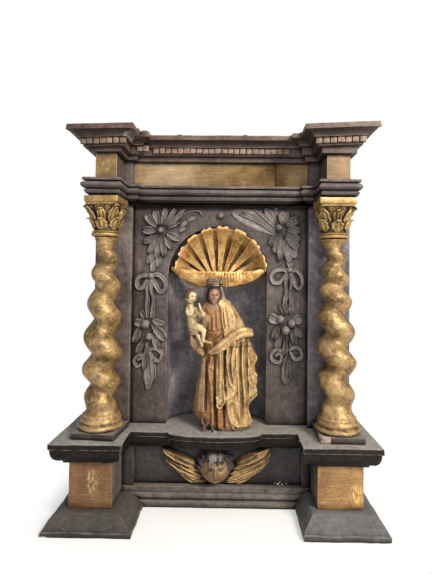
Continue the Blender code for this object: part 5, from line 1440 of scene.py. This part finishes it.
def face_shape(point, jaw):
    """Turns a unit ball into a head of plain calm proportions; point.y < 0 is the face side."""
    x, y, z = point
    width = 1.0 - jaw * max(0.0, -z) ** 1.6
    x, y = x * width, y * (1.0 - 0.18 * max(0.0, -z) ** 2)
    if y < 0.1:
        def bump(cx, cz, sx, sz):
            return exp(-((x - cx) / sx) ** 2 - ((z - cz) / sz) ** 2)
        forward = 0.0
        for side in (-1, 1):
            forward -= 0.15 * bump(side * 0.36, 0.06, 0.20, 0.10)       # eye socket
            forward += 0.08 * bump(side * 0.36, 0.02, 0.12, 0.055)      # ball and lids
            forward -= 0.035 * bump(side * 0.36, 0.015, 0.13, 0.016)    # where the lids meet
            forward += 0.06 * bump(side * 0.34, 0.20, 0.24, 0.055)      # brow
            forward += 0.07 * bump(side * 0.42, -0.25, 0.20, 0.18)      # cheek
            forward -= 0.05 * bump(side * 0.17, -0.28, 0.05, 0.07)      # beside the nose
            forward += 0.05 * bump(side * 0.11, -0.265, 0.06, 0.05)     # nostril
        forward += 0.10 * bump(0, 0.02, 0.075, 0.16) + 0.20 * bump(0, -0.20, 0.085, 0.13)   # bridge and tip
        forward += 0.075 * bump(0, -0.455, 0.16, 0.035) + 0.075 * bump(0, -0.55, 0.13, 0.04)   # lips
        forward -= 0.06 * bump(0, -0.50, 0.17, 0.016)                   # where they meet
        forward -= 0.05 * bump(0, -0.66, 0.14, 0.05)
        forward += 0.12 * bump(0, -0.80, 0.18, 0.11)                    # chin
        y -= 1.25 * forward
    return Vector((x, y, z))


def painted(vert, skin):
    """Painted marks of a face: dark on the lids and brows, reddish on the lips."""
    x, y, z = vert
    if y > -0.2:
        return skin
    side = abs(x) - 0.36
    lids = (side / 0.16) ** 2 + ((z - 0.02) / 0.042) ** 2 < 1
    brows = abs(side) < 0.22 and abs(z - 0.225 + 1.2 * side * side) < 0.024
    if lids or brows:
        return HAIR
    return LINING if abs(x) < 0.17 and abs(z + 0.50) < 0.07 else skin


def head(centre, radii, turn, hair_out, strands, coarse=1.0, jaw=0.30, skin=FLESH,
         hair_low=-2.0):
    """A carved head: the face, and a cap of combed hair that leaves the face free."""
    face = bmesh.new()
    ball = bmesh.ops.create_uvsphere(face, u_segments=int(110 * coarse), v_segments=int(84 * coarse),
                                     radius=1.0)
    spin = Matrix.Rotation(radians(turn[2]), 3, "Z") @ Matrix.Rotation(radians(turn[0]), 3, "X")
    spin = spin @ Matrix.Rotation(radians(turn[1]), 3, "Y")
    marks = [painted(vert.co, skin) for vert in ball["verts"]]
    for vert in ball["verts"]:
        shaped = face_shape(vert.co, jaw)
        vert.co = spin @ Vector([a * b for a, b in zip(shaped, radii)]) + Vector(centre)
    hair = bmesh.new()
    ball = bmesh.ops.create_uvsphere(hair, u_segments=int(130 * coarse), v_segments=int(70 * coarse),
                                     radius=1.0)
    for vert in ball["verts"]:
        x, y, z = vert.co
        around = atan2(x, z)
        wave = 0.5 + 0.5 * cos(strands * around + 3.0 * y + 1.2 * sin(5 * y + 2 * z))
        opening = exp(-((x / 0.66) ** 4) - (((z + 0.25) / 0.78) ** 4)) if y < 0 else 0.0
        short = min(1.0, max(0.0, (hair_low - z) / 0.25))
        reach = hair_out * (1 + 0.065 * wave) - 0.34 * max(opening, short)
        vert.co = spin @ Vector((x * radii[0] * reach, (y + 0.10) * radii[1] * reach, z * radii[2] * reach))
        vert.co += Vector(centre)
    return [(face, marks), (hair, HAIR)]


lady_x, lady_z = (-13, 511)
child_x, child_z = (-69, 510)
join(figure, little_body)
join(figure, fused(head((lady_x, STATUE_Y - 8, lady_z), (14.6, 17.0, 22.5), (-4.0, 4.0, 6.0), 1.13, 34),
                   0.55, 1))
join(figure, fused(head((child_x, STATUE_Y - 27, child_z), (14.2, 15.5, 17.5), (6.0, 8.0, 40.0), 1.12, 26,
                        0.8, 0.16, CREAM, -0.20), 0.6, 1))
weather(figure, 0.35, 9.0, 4.0)
hold(figure, x=(-91.8, 95.2), y=(-47.6, 36.0), z=(LEDGE_TOP, 535.5))
to_metres(figure)

statue_finishes = [
    gilded_carving("pale_mantle_gilding", "#8a6b43", "#cfaf7b", "#221408", "#5d4022", shine=0.4, rubbed=0.28,
                   rough=0.5),
    gilded_carving("brown_robe_gilding", "#72502e", "#b08250", "#22140a", "#4f351c", shine=0.3, rubbed=0.4,
                   rough=0.5),
    gilded_carving("worn_lining_gilding", "#755a3f", "#a58460", "#2a1c11", "#54402c", shine=0.2, rubbed=0.4,
                   rough=0.55),
    gilded_carving("cream_child_flesh", "#8d7855", "#cfb98f", "#3a2614", "#7d6240", shine=0.15, rubbed=0.3,
                   rough=0.5),
    gilded_carving("tempera_flesh", "#7d5a46", "#b18a70", "#2c1a12", "#5e4233", shine=0.05, rubbed=0.2,
                   scale=1.4, rough=0.5),
    gilded_carving("umber_hair", "#33251d", "#5c4636", "#130c08", "#291c15", shine=0.05, rubbed=0.2,
                   scale=1.4, rough=0.6),
    gilded_carving("grey_white_veil", "#5d554c", "#8f887d", "#241d18", "#463d35", shine=0.05, rubbed=0.3,
                   scale=1.4, rough=0.6)]
made = piece("statue_virgin_and_child", figure, statue_finishes[0], ["statue"], smooth=70)
for finish in statue_finishes[1:]:
    made.data.materials.append(finish)

# ---------------------------------------------------------------- crown
# An open crown of thin silver plate and wire, tarnished, pushed down over the veil.
crown_silver, t, surface, place = blank_finish("tarnished_silver")
tarnish = ramp(t, grainy(t, place, 220.0, 5.0, 0.7), 0.38, 0.62)
wire(t, surface, {"Base Color": blend(t, tarnish, "#3b2f25", "#d0c0a6"), "Metallic": 0.85,
                  "Roughness": 0.42})
crown_x, crown_z = (-12, 537)
hub = Vector((crown_x * 0.001, STATUE_Y * 0.001 - 0.001, crown_z * 0.001))
bm = bmesh.new()
CROWN_R = 0.0168
for lift, thick in ((0.0, 0.0011), (0.0044, 0.0010)):
    ring = [hub + directions(2 * pi * k / 40)[0] * (CROWN_R + lift * 0.2) + Vector((0, 0, lift))
            for k in range(41)]
    tube(bm, ring, [thick] * 41, sides=6)
for k in range(10):
    out, across = directions(2 * pi * (k + 0.5) / 10)
    tall = 0.0160 + 0.0030 * noise.noise(Vector((k * 1.7, 3.1, 0)))
    foot = hub + out * CROWN_R + Vector((0, 0, 0.003))
    bend = 0.0012 * noise.noise(Vector((k * 2.3, 0.4, 5.0)))
    for side in (-1, 1):
        path = []
        for j in range(13):
            t = j / 12
            path.append(foot + out * (0.0022 * t) + across * (side * 0.0036 * sin(pi * t) + bend * t)
                        + Vector((0, 0, tall * 0.78 * t)))
        tube(bm, path, [0.0012] * 13, sides=6)
        curl = []
        for j in range(11):
            b = 2 * pi * 0.8 * j / 10
            spot = foot + out * 0.0012 + across * side * (0.0046 - 0.0016 * cos(b))
            curl.append(spot + Vector((0, 0, 0.0040 + 0.0016 * sin(b))))
        tube(bm, curl, [0.0009] * 11, sides=5)
    # a bead at the tip of each leaf and one in its middle
    for radius, forward, aside, share in ((0.0023, 0.0024, bend, 0.86), (0.0016, 0.0010, 0.0, 0.35)):
        spot = foot + out * forward + across * aside + Vector((0, 0, tall * share))
        bmesh.ops.create_uvsphere(bm, u_segments=8, v_segments=6, radius=radius,
                                  matrix=Matrix.Translation(spot))
piece("crown_openwork", bm, crown_silver, ["crown"], smooth=60)

# ---------------------------------------------------------------- cherub
# A winged child's head carved from limewood and glued to the middle of the dado board. The face and
# feathers are gilt over brown; the hair has lost its colour on top and shows grey ground.
CHERUB_BACK = 8.6                # face of the dado board, mm
# feathers from the lowest to the one on top: root, tip, width, rise
FEATHERS = {
    "left": [([(-27, 52), (-91, 77)], 20, 9), ([(-32, 56), (-121, 106)], 22, 12),
             ([(-37, 68), (-133, 120)], 22, 16), ([(-40, 80), (-137, 132)], 21, 20),
             ([(-47, 97), (-138, 143)], 19, 26)],
    "right": [([(22, 57), (85, 73)], 19, 9), ([(24, 62), (118, 97)], 22, 12),
              ([(29, 74), (128, 114)], 22, 16), ([(33, 86), (132, 131)], 21, 20),
              ([(43, 101), (130, 147)], 20, 26)]}
wings = bmesh.new()
for side, feathers in FEATHERS.items():
    for k, (path, width, rise) in enumerate(feathers):
        leaf(wings, path[0], path[1], width, rise, 3.0 if side == "left" else -3.0, 0.3 if k < 4 else 0.12,
             0, back=CHERUB_BACK, point=0.75)
        leaf(wings, path[0], ((path[0][0] + path[1][0] * 2) / 3, (path[0][1] + path[1][1] * 2) / 3),
             width * 0.8, rise + 2.0, 2.0, 0.25, 3, back=CHERUB_BACK, point=0.75)
bmesh.ops.reverse_faces(wings, faces=wings.faces[:])
for face in wings.faces:
    face.material_index = MANTLE
head_x, head_z = (-5, 99)
tufts = bmesh.new()
for k in range(9):
    a = radians(-2 + 184 * k / 8)
    for ring, lift in ((0.86, 9.0), (1.0, -1.0)):
        middle = Vector((head_x + 34 * ring * cos(a), -12 - lift, head_z + 4 + 36 * ring * sin(a) * 0.98))
        swirl = [middle + Vector((cos(a + b) * 7.6 * (1 - b / 9), -b * 0.9, sin(a + b) * 7.6 * (1 - b / 9)))
                 for b in [j * 0.7 for j in range(9)]]
        rounded_bar(tufts, swirl, [5.6 - 0.35 * j for j in range(9)], sides=9)
bare_tufts = bmesh.new()
for k in range(7):
    x = head_x + (k - 3) * 5.6
    low = 20 + 6 * cos(k * 2.4)
    rounded_bar(bare_tufts if k in (1, 2, 3, 5) else tufts,
                [(x, -26, head_z + 41), (x + 1.5, -36, head_z + 33), (x + (k - 3) * 0.8, -38, head_z + low)],
                [5.0, 4.6, 2.0], sides=9)
GREY = VEIL
cherub = fused(head((head_x, -9.0, head_z), (37.0, 31.0, 38.5), (0, 0, 2.0), 1.02, 22, jaw=0.06)
               + [(tufts, HAIR), (bare_tufts, GREY)], 0.9, 1)
join(cherub, wings)
weather(cherub, 0.5, 9.0, 6.0)
hold(cherub, x=(-137.0, 131.0), y=(-44.2, CHERUB_BACK), z=(54.7, 145.8))
to_metres(cherub)
cherub_finishes = {
    MANTLE: gilded_carving("dulled_wing_gilding", "#735631", "#d3b078", "#1d130a", "#3f2c1a", shine=0.35,
                           rubbed=0.75, rough=0.5),
    FLESH: gilded_carving("worn_face_gilding", "#5d442e", "#8f6f4c", "#21140b", "#4b3524", shine=0.2,
                          rubbed=0.6, rough=0.5),
    LINING: gilded_carving("faded_red_brown_lips", "#5f382b", "#8a5643", "#21140b", "#4b3524", shine=0.05,
                           rubbed=0.4, rough=0.5),
    HAIR: gilded_carving("blackened_hair", "#221c19", "#3f3630", "#15100e", "#241c18", shine=0.05,
                         rubbed=0.4, rough=0.6),
    GREY: gilded_carving("bare_grey_ground", "#5f5c58", "#8b8780", "#2a2725", "#3c3835", shine=0.0,
                         rubbed=0.4, rough=0.7)}
made = piece("cherub_head_and_wings", cherub, cherub_finishes[MANTLE], ["cherub"], smooth=70)
for slot_number in range(1, 7):
    made.data.materials.append(cherub_finishes.get(slot_number, cherub_finishes[MANTLE]))

# ---------------------------------------------------------------- architrave, frieze and cornice
# The entablature steps forward over each column: a moulded architrave, a frieze that is gilt on its
# fronts, and a coved cornice over a row of small dentils. The cornice of each wing has warped.
FRIEZE = {"left": (0.2403, 0.2903), "right": (0.2473, 0.3018)}
STRIP = 0.219
STRIP_FACE = -0.004
BLOCK_FACE = -0.076


def stepped(ends, y_wing, strip, y_strip, y_middle, y_back):
    """A plan that steps back from the wings to the strips and to the middle, from back left to back right."""
    (in_left, out_left), (in_right, out_right) = ends["left"], ends["right"]
    return [(-out_left, y_back), (-out_left, y_wing), (-in_left, y_wing), (-in_left, y_strip),
            (-strip, y_strip), (-strip, y_middle), (strip, y_middle), (strip, y_strip),
            (in_right, y_strip), (in_right, y_wing), (out_right, y_wing), (out_right, y_back)]


ARCHITRAVE = {"left": (0.2240, 0.3175), "right": (0.2260, 0.3240)}
STRIP_LIP = 0.1960
STRIP_LIP_Y = -0.028
MIDDLE_LIP_Y = -0.015
root = stepped(FRIEZE, BLOCK_FACE, STRIP, STRIP_FACE, MIDDLE, CASE_END)
lip = stepped(ARCHITRAVE, -0.100, STRIP_LIP, STRIP_LIP_Y, MIDDLE_LIP_Y, CASE_END)
# (out, z) from the soffit up: a small ogee, a torus and a fillet
architrave_course = [(0.30, 0.7420), (0.42, 0.7424), (0.42, 0.7446)]
architrave_course += [(0.50 + 0.22 * sin(pi / 2 * k / 5), 0.7452 + 0.0065 * (1 - cos(pi / 2 * k / 5)))
                      for k in range(6)]
architrave_course += [(0.76, 0.7526), (0.76, 0.7546), (0.58, 0.7550), (0.58, 0.7582)]
architrave_course += [(0.82 + 0.18 * sin(pi * k / 8), 0.7588 + 0.0140 * k / 8) for k in range(9)]
architrave_course += [(0.62, 0.7734), (0.62, 0.7764), (0.88, 0.7768), (0.88, 0.7826)]
architrave_paint = aged_paint("brown_black_architrave_paint", "#382f31", "#685b58", "#6d6a66", ALONG_X,
                              edge_wear=0.75)
bm = bmesh.new()
moulding(bm, root, lip, architrave_course, step=0.009)
soften(bm, 0.0006)
weather(bm, 0.0006, 0.07, 11.0)
BEAD_END = 0.2250
BEAD_BACK = 0.05
bead_root = [(-BEAD_END, BEAD_BACK), (-BEAD_END, STRIP_FACE), (-STRIP, STRIP_FACE), (-STRIP, MIDDLE),
             (STRIP, MIDDLE), (STRIP, STRIP_FACE), (BEAD_END, STRIP_FACE), (BEAD_END, BEAD_BACK)]
bead_lip = [(-BEAD_END, BEAD_BACK), (-BEAD_END, STRIP_LIP_Y), (-STRIP_LIP, STRIP_LIP_Y),
            (-STRIP_LIP, MIDDLE_LIP_Y), (STRIP_LIP, MIDDLE_LIP_Y), (STRIP_LIP, STRIP_LIP_Y),
            (BEAD_END, STRIP_LIP_Y), (BEAD_END, BEAD_BACK)]
bead = [(0.05, 0.7345)] + [(0.30 + 0.34 * sin(pi * k / 8), 0.7348 + 0.0078 * k / 8) for k in range(9)]
bead += [(0.24, 0.7432), (0.24, 0.7470)]
moulding(bm, bead_root, bead_lip, bead, step=0.009)
piece("architrave_moulding", bm, architrave_paint, ["architrave"])

frieze_paint = aged_paint("dark_frieze_side_paint", "#332c2c", "#5a4f4c", "#6d6a66", UPRIGHT)
frieze_gilt = gilt_board("rubbed_frieze_gilding", "#8a7049", "#644d2e", "#b89a60",
                         (-0.265, BLOCK_FACE, 0.815), (0.013, 0.03, 0.022), 0.7, shine=0.12)
# right of the joint the middle facing takes a lighter gilding: a shade pinker than the rest, and painted
# light that offsets the shadow the right block casts there
shadow_offset_gilt = gilt_board("frieze_gilding_lightened_against_shadow", "#a88659", "#7c6040", "#d0b077",
                          (0.265, BLOCK_FACE, 0.815), (0.012, 0.03, 0.018), 0.5, shine=0.12)
JOINT_X = 0.137                  # where the gilt facing of the middle is pieced
bm = from_cad("frieze")
soften(bm, 0.0008)
face_outward(bm)
JOINT_WIDTH, JOINT_DEPTH = 0.0016, 0.0024
for side in (-1, 1):
    slice_at(bm, JOINT_X + side * JOINT_WIDTH / 2)
joint = [f for f in bm.faces if f.normal.y < -0.6 and abs(f.calc_center_median().y - MIDDLE) < 0.004
         and abs(f.calc_center_median().x - JOINT_X) < JOINT_WIDTH / 2]
sunk = bmesh.ops.extrude_face_region(bm, geom=joint)
for grown in sunk["geom"]:
    if isinstance(grown, bmesh.types.BMVert):
        grown.co.y += JOINT_DEPTH
bmesh.ops.delete(bm, geom=joint, context="FACES")
for face in bm.faces:
    at = face.calc_center_median()
    in_front = face.normal.y < -0.6 and (at.y < BLOCK_FACE + 0.01 or abs(at.y - MIDDLE) < 0.0012)
    # the facing right of the joint gets the gilding painted lighter against the block's shadow
    face.material_index = (2 if JOINT_X < at.x < 0.19 else 0) if in_front else 1
made = piece("frieze_boards", bm, frieze_gilt, ["frieze"], smooth=20)
made.data.materials.append(frieze_paint)
made.data.materials.append(shadow_offset_gilt)

CORNICE = {"left": (0.1930, 0.3410), "right": (0.1900, 0.3540)}  # inner and outer end of the lip of each wing
TILT = {"left": -0.033, "right": 0.048}
CORNICE_LIP_Y = -0.126
CORNICE_STRIP_Y = -0.064
CORNICE_MIDDLE_Y = -0.042
CORNICE_TOP = 0.8985


def lean(x, y, z):
    """How far the warped cornice of a wing leans up or down at a place."""
    side = "left" if x < 0 else "right"
    reach = abs(x) - CORNICE[side][0]
    return TILT[side] * reach * min(1.0, max(0.0, (z - 0.846) / 0.008)) if reach > 0 else 0.0


root = stepped(FRIEZE, BLOCK_FACE, STRIP, STRIP_FACE, MIDDLE, CASE_BACK)
lip = stepped(CORNICE, CORNICE_LIP_Y, 0.1690, CORNICE_STRIP_Y, CORNICE_MIDDLE_Y, CASE_BACK)
# (out, z) from the frieze up: fillet, dentil band, cove, lip
cornice_course = [(0.0, 0.8440), (0.22, 0.8441), (0.24, 0.8452), (0.24, 0.8535), (0.30, 0.8550),
                  (0.44, 0.8568), (0.44, 0.8740), (0.62, 0.8746)]
cornice_course += [(0.98 - 0.36 * cos(pi / 2 * k / 9), 0.8752 + 0.0118 * sin(pi / 2 * k / 9) ** 1.3)
                   for k in range(10)]
cornice_course += [(1.0, 0.8876), (1.0, CORNICE_TOP)]
cornice_paint = aged_paint("brown_cornice_paint", "#41322b", "#6c5950", "#6d6a66", ALONG_X, edge_wear=0.7)
bm = bmesh.new()
moulding(bm, root, lip, cornice_course, lean, step=0.009)
soften(bm, 0.0010)
bm.normal_update()
knock(bm, [(-0.193, -0.126, 0.880, 0.012), (-0.341, -0.126, 0.878, 0.007), (-0.193, -0.075, 0.895, 0.012),
           (-0.180, -0.064, 0.897, 0.010), (0.354, -0.126, 0.896, 0.006), (0.190, -0.064, 0.895, 0.008),
           (-0.100, -0.042, 0.8985, 0.005), (0.060, -0.042, 0.8985, 0.006), (0.250, -0.126, 0.897, 0.005)])
weather(bm, 0.0009, 0.06, 12.0)
hold(bm, y=(CORNICE_LIP_Y, CASE_BACK))
CHIPPED = Vector((-0.196, -0.088, 0.868))
for face in bm.faces:
    at = face.calc_center_median()
    away = Vector((at.x - CHIPPED.x, (at.y - CHIPPED.y) * 0.45, at.z - CHIPPED.z)).length
    face.material_index = 1 if away + 0.008 * noise.noise(at * 130) < 0.021 else 0
cornice = piece("cornice_moulding", bm, cornice_paint, ["cornice"])
cornice.data.materials.append(broken)

# dentils: little blocks pinned to the band, each cut a shade differently; paint rubbed to brown wood
dentil_paint = aged_paint("rubbed_dentil_paint", "#67544a", "#937b6c", "#857b73", UPRIGHT, edge_wear=1.0,
                          bare="#b39a7c")
DENTIL_LOW, DENTIL_HIGH = 0.8602, 0.8732
bm = bmesh.new()


def dentil_row(first, last, y_root, y_lip, count, seed):
    """A row of small blocks between two places along the front."""
    y_band = y_root + (y_lip - y_root) * 0.44
    y_face = y_root + (y_lip - y_root) * 0.60
    pitch = (last - first) / count
    for k in range(count):
        chance = noise.cell_vector(Vector((k * 1.7 + seed, seed, 0.5)))
        width = pitch * (0.84 + 0.08 * chance.x)
        x = first + pitch * (k + 0.5) + pitch * 0.05 * (chance.y - 0.5)
        y_out = y_face + (y_band - y_face) * 0.35 * chance.z
        z_low = DENTIL_LOW + 0.0012 * chance.x
        rise = lean(x, 0.0, 0.87)
        size = Vector((width, y_band + 0.002 - y_out, DENTIL_HIGH - z_low))
        middle = Vector((x, (y_band + 0.002 + y_out) / 2, (DENTIL_HIGH + z_low) / 2 + rise))
        block = bmesh.ops.create_cube(bm, size=1.0, matrix=Matrix.Translation(middle) @ Matrix.Diagonal(
            size.to_4d()))
        edges = list({e for v in block["verts"] for e in v.link_edges})
        bmesh.ops.bevel(bm, geom=edges, offset=0.0011, offset_type="OFFSET", affect="EDGES", segments=2,
                        profile=0.5, material=-1, clamp_overlap=True)


for side, sign, seed in (("left", -1, 1.0), ("right", 1, 2.0)):
    ends = sorted(sign * (f + (c - f) * 0.56) for f, c in zip(FRIEZE[side], CORNICE[side]))
    dentil_row(ends[0], ends[1], BLOCK_FACE, CORNICE_LIP_Y, 7, seed)
dentil_row(-0.168, 0.168, MIDDLE, CORNICE_MIDDLE_Y, 22, 3.0)
dentil_row(-0.203, -0.174, STRIP_FACE, CORNICE_STRIP_Y, 2, 4.0)
weather(bm, 0.0005, 0.012, 13.0)
piece("dentils", bm, dentil_paint)
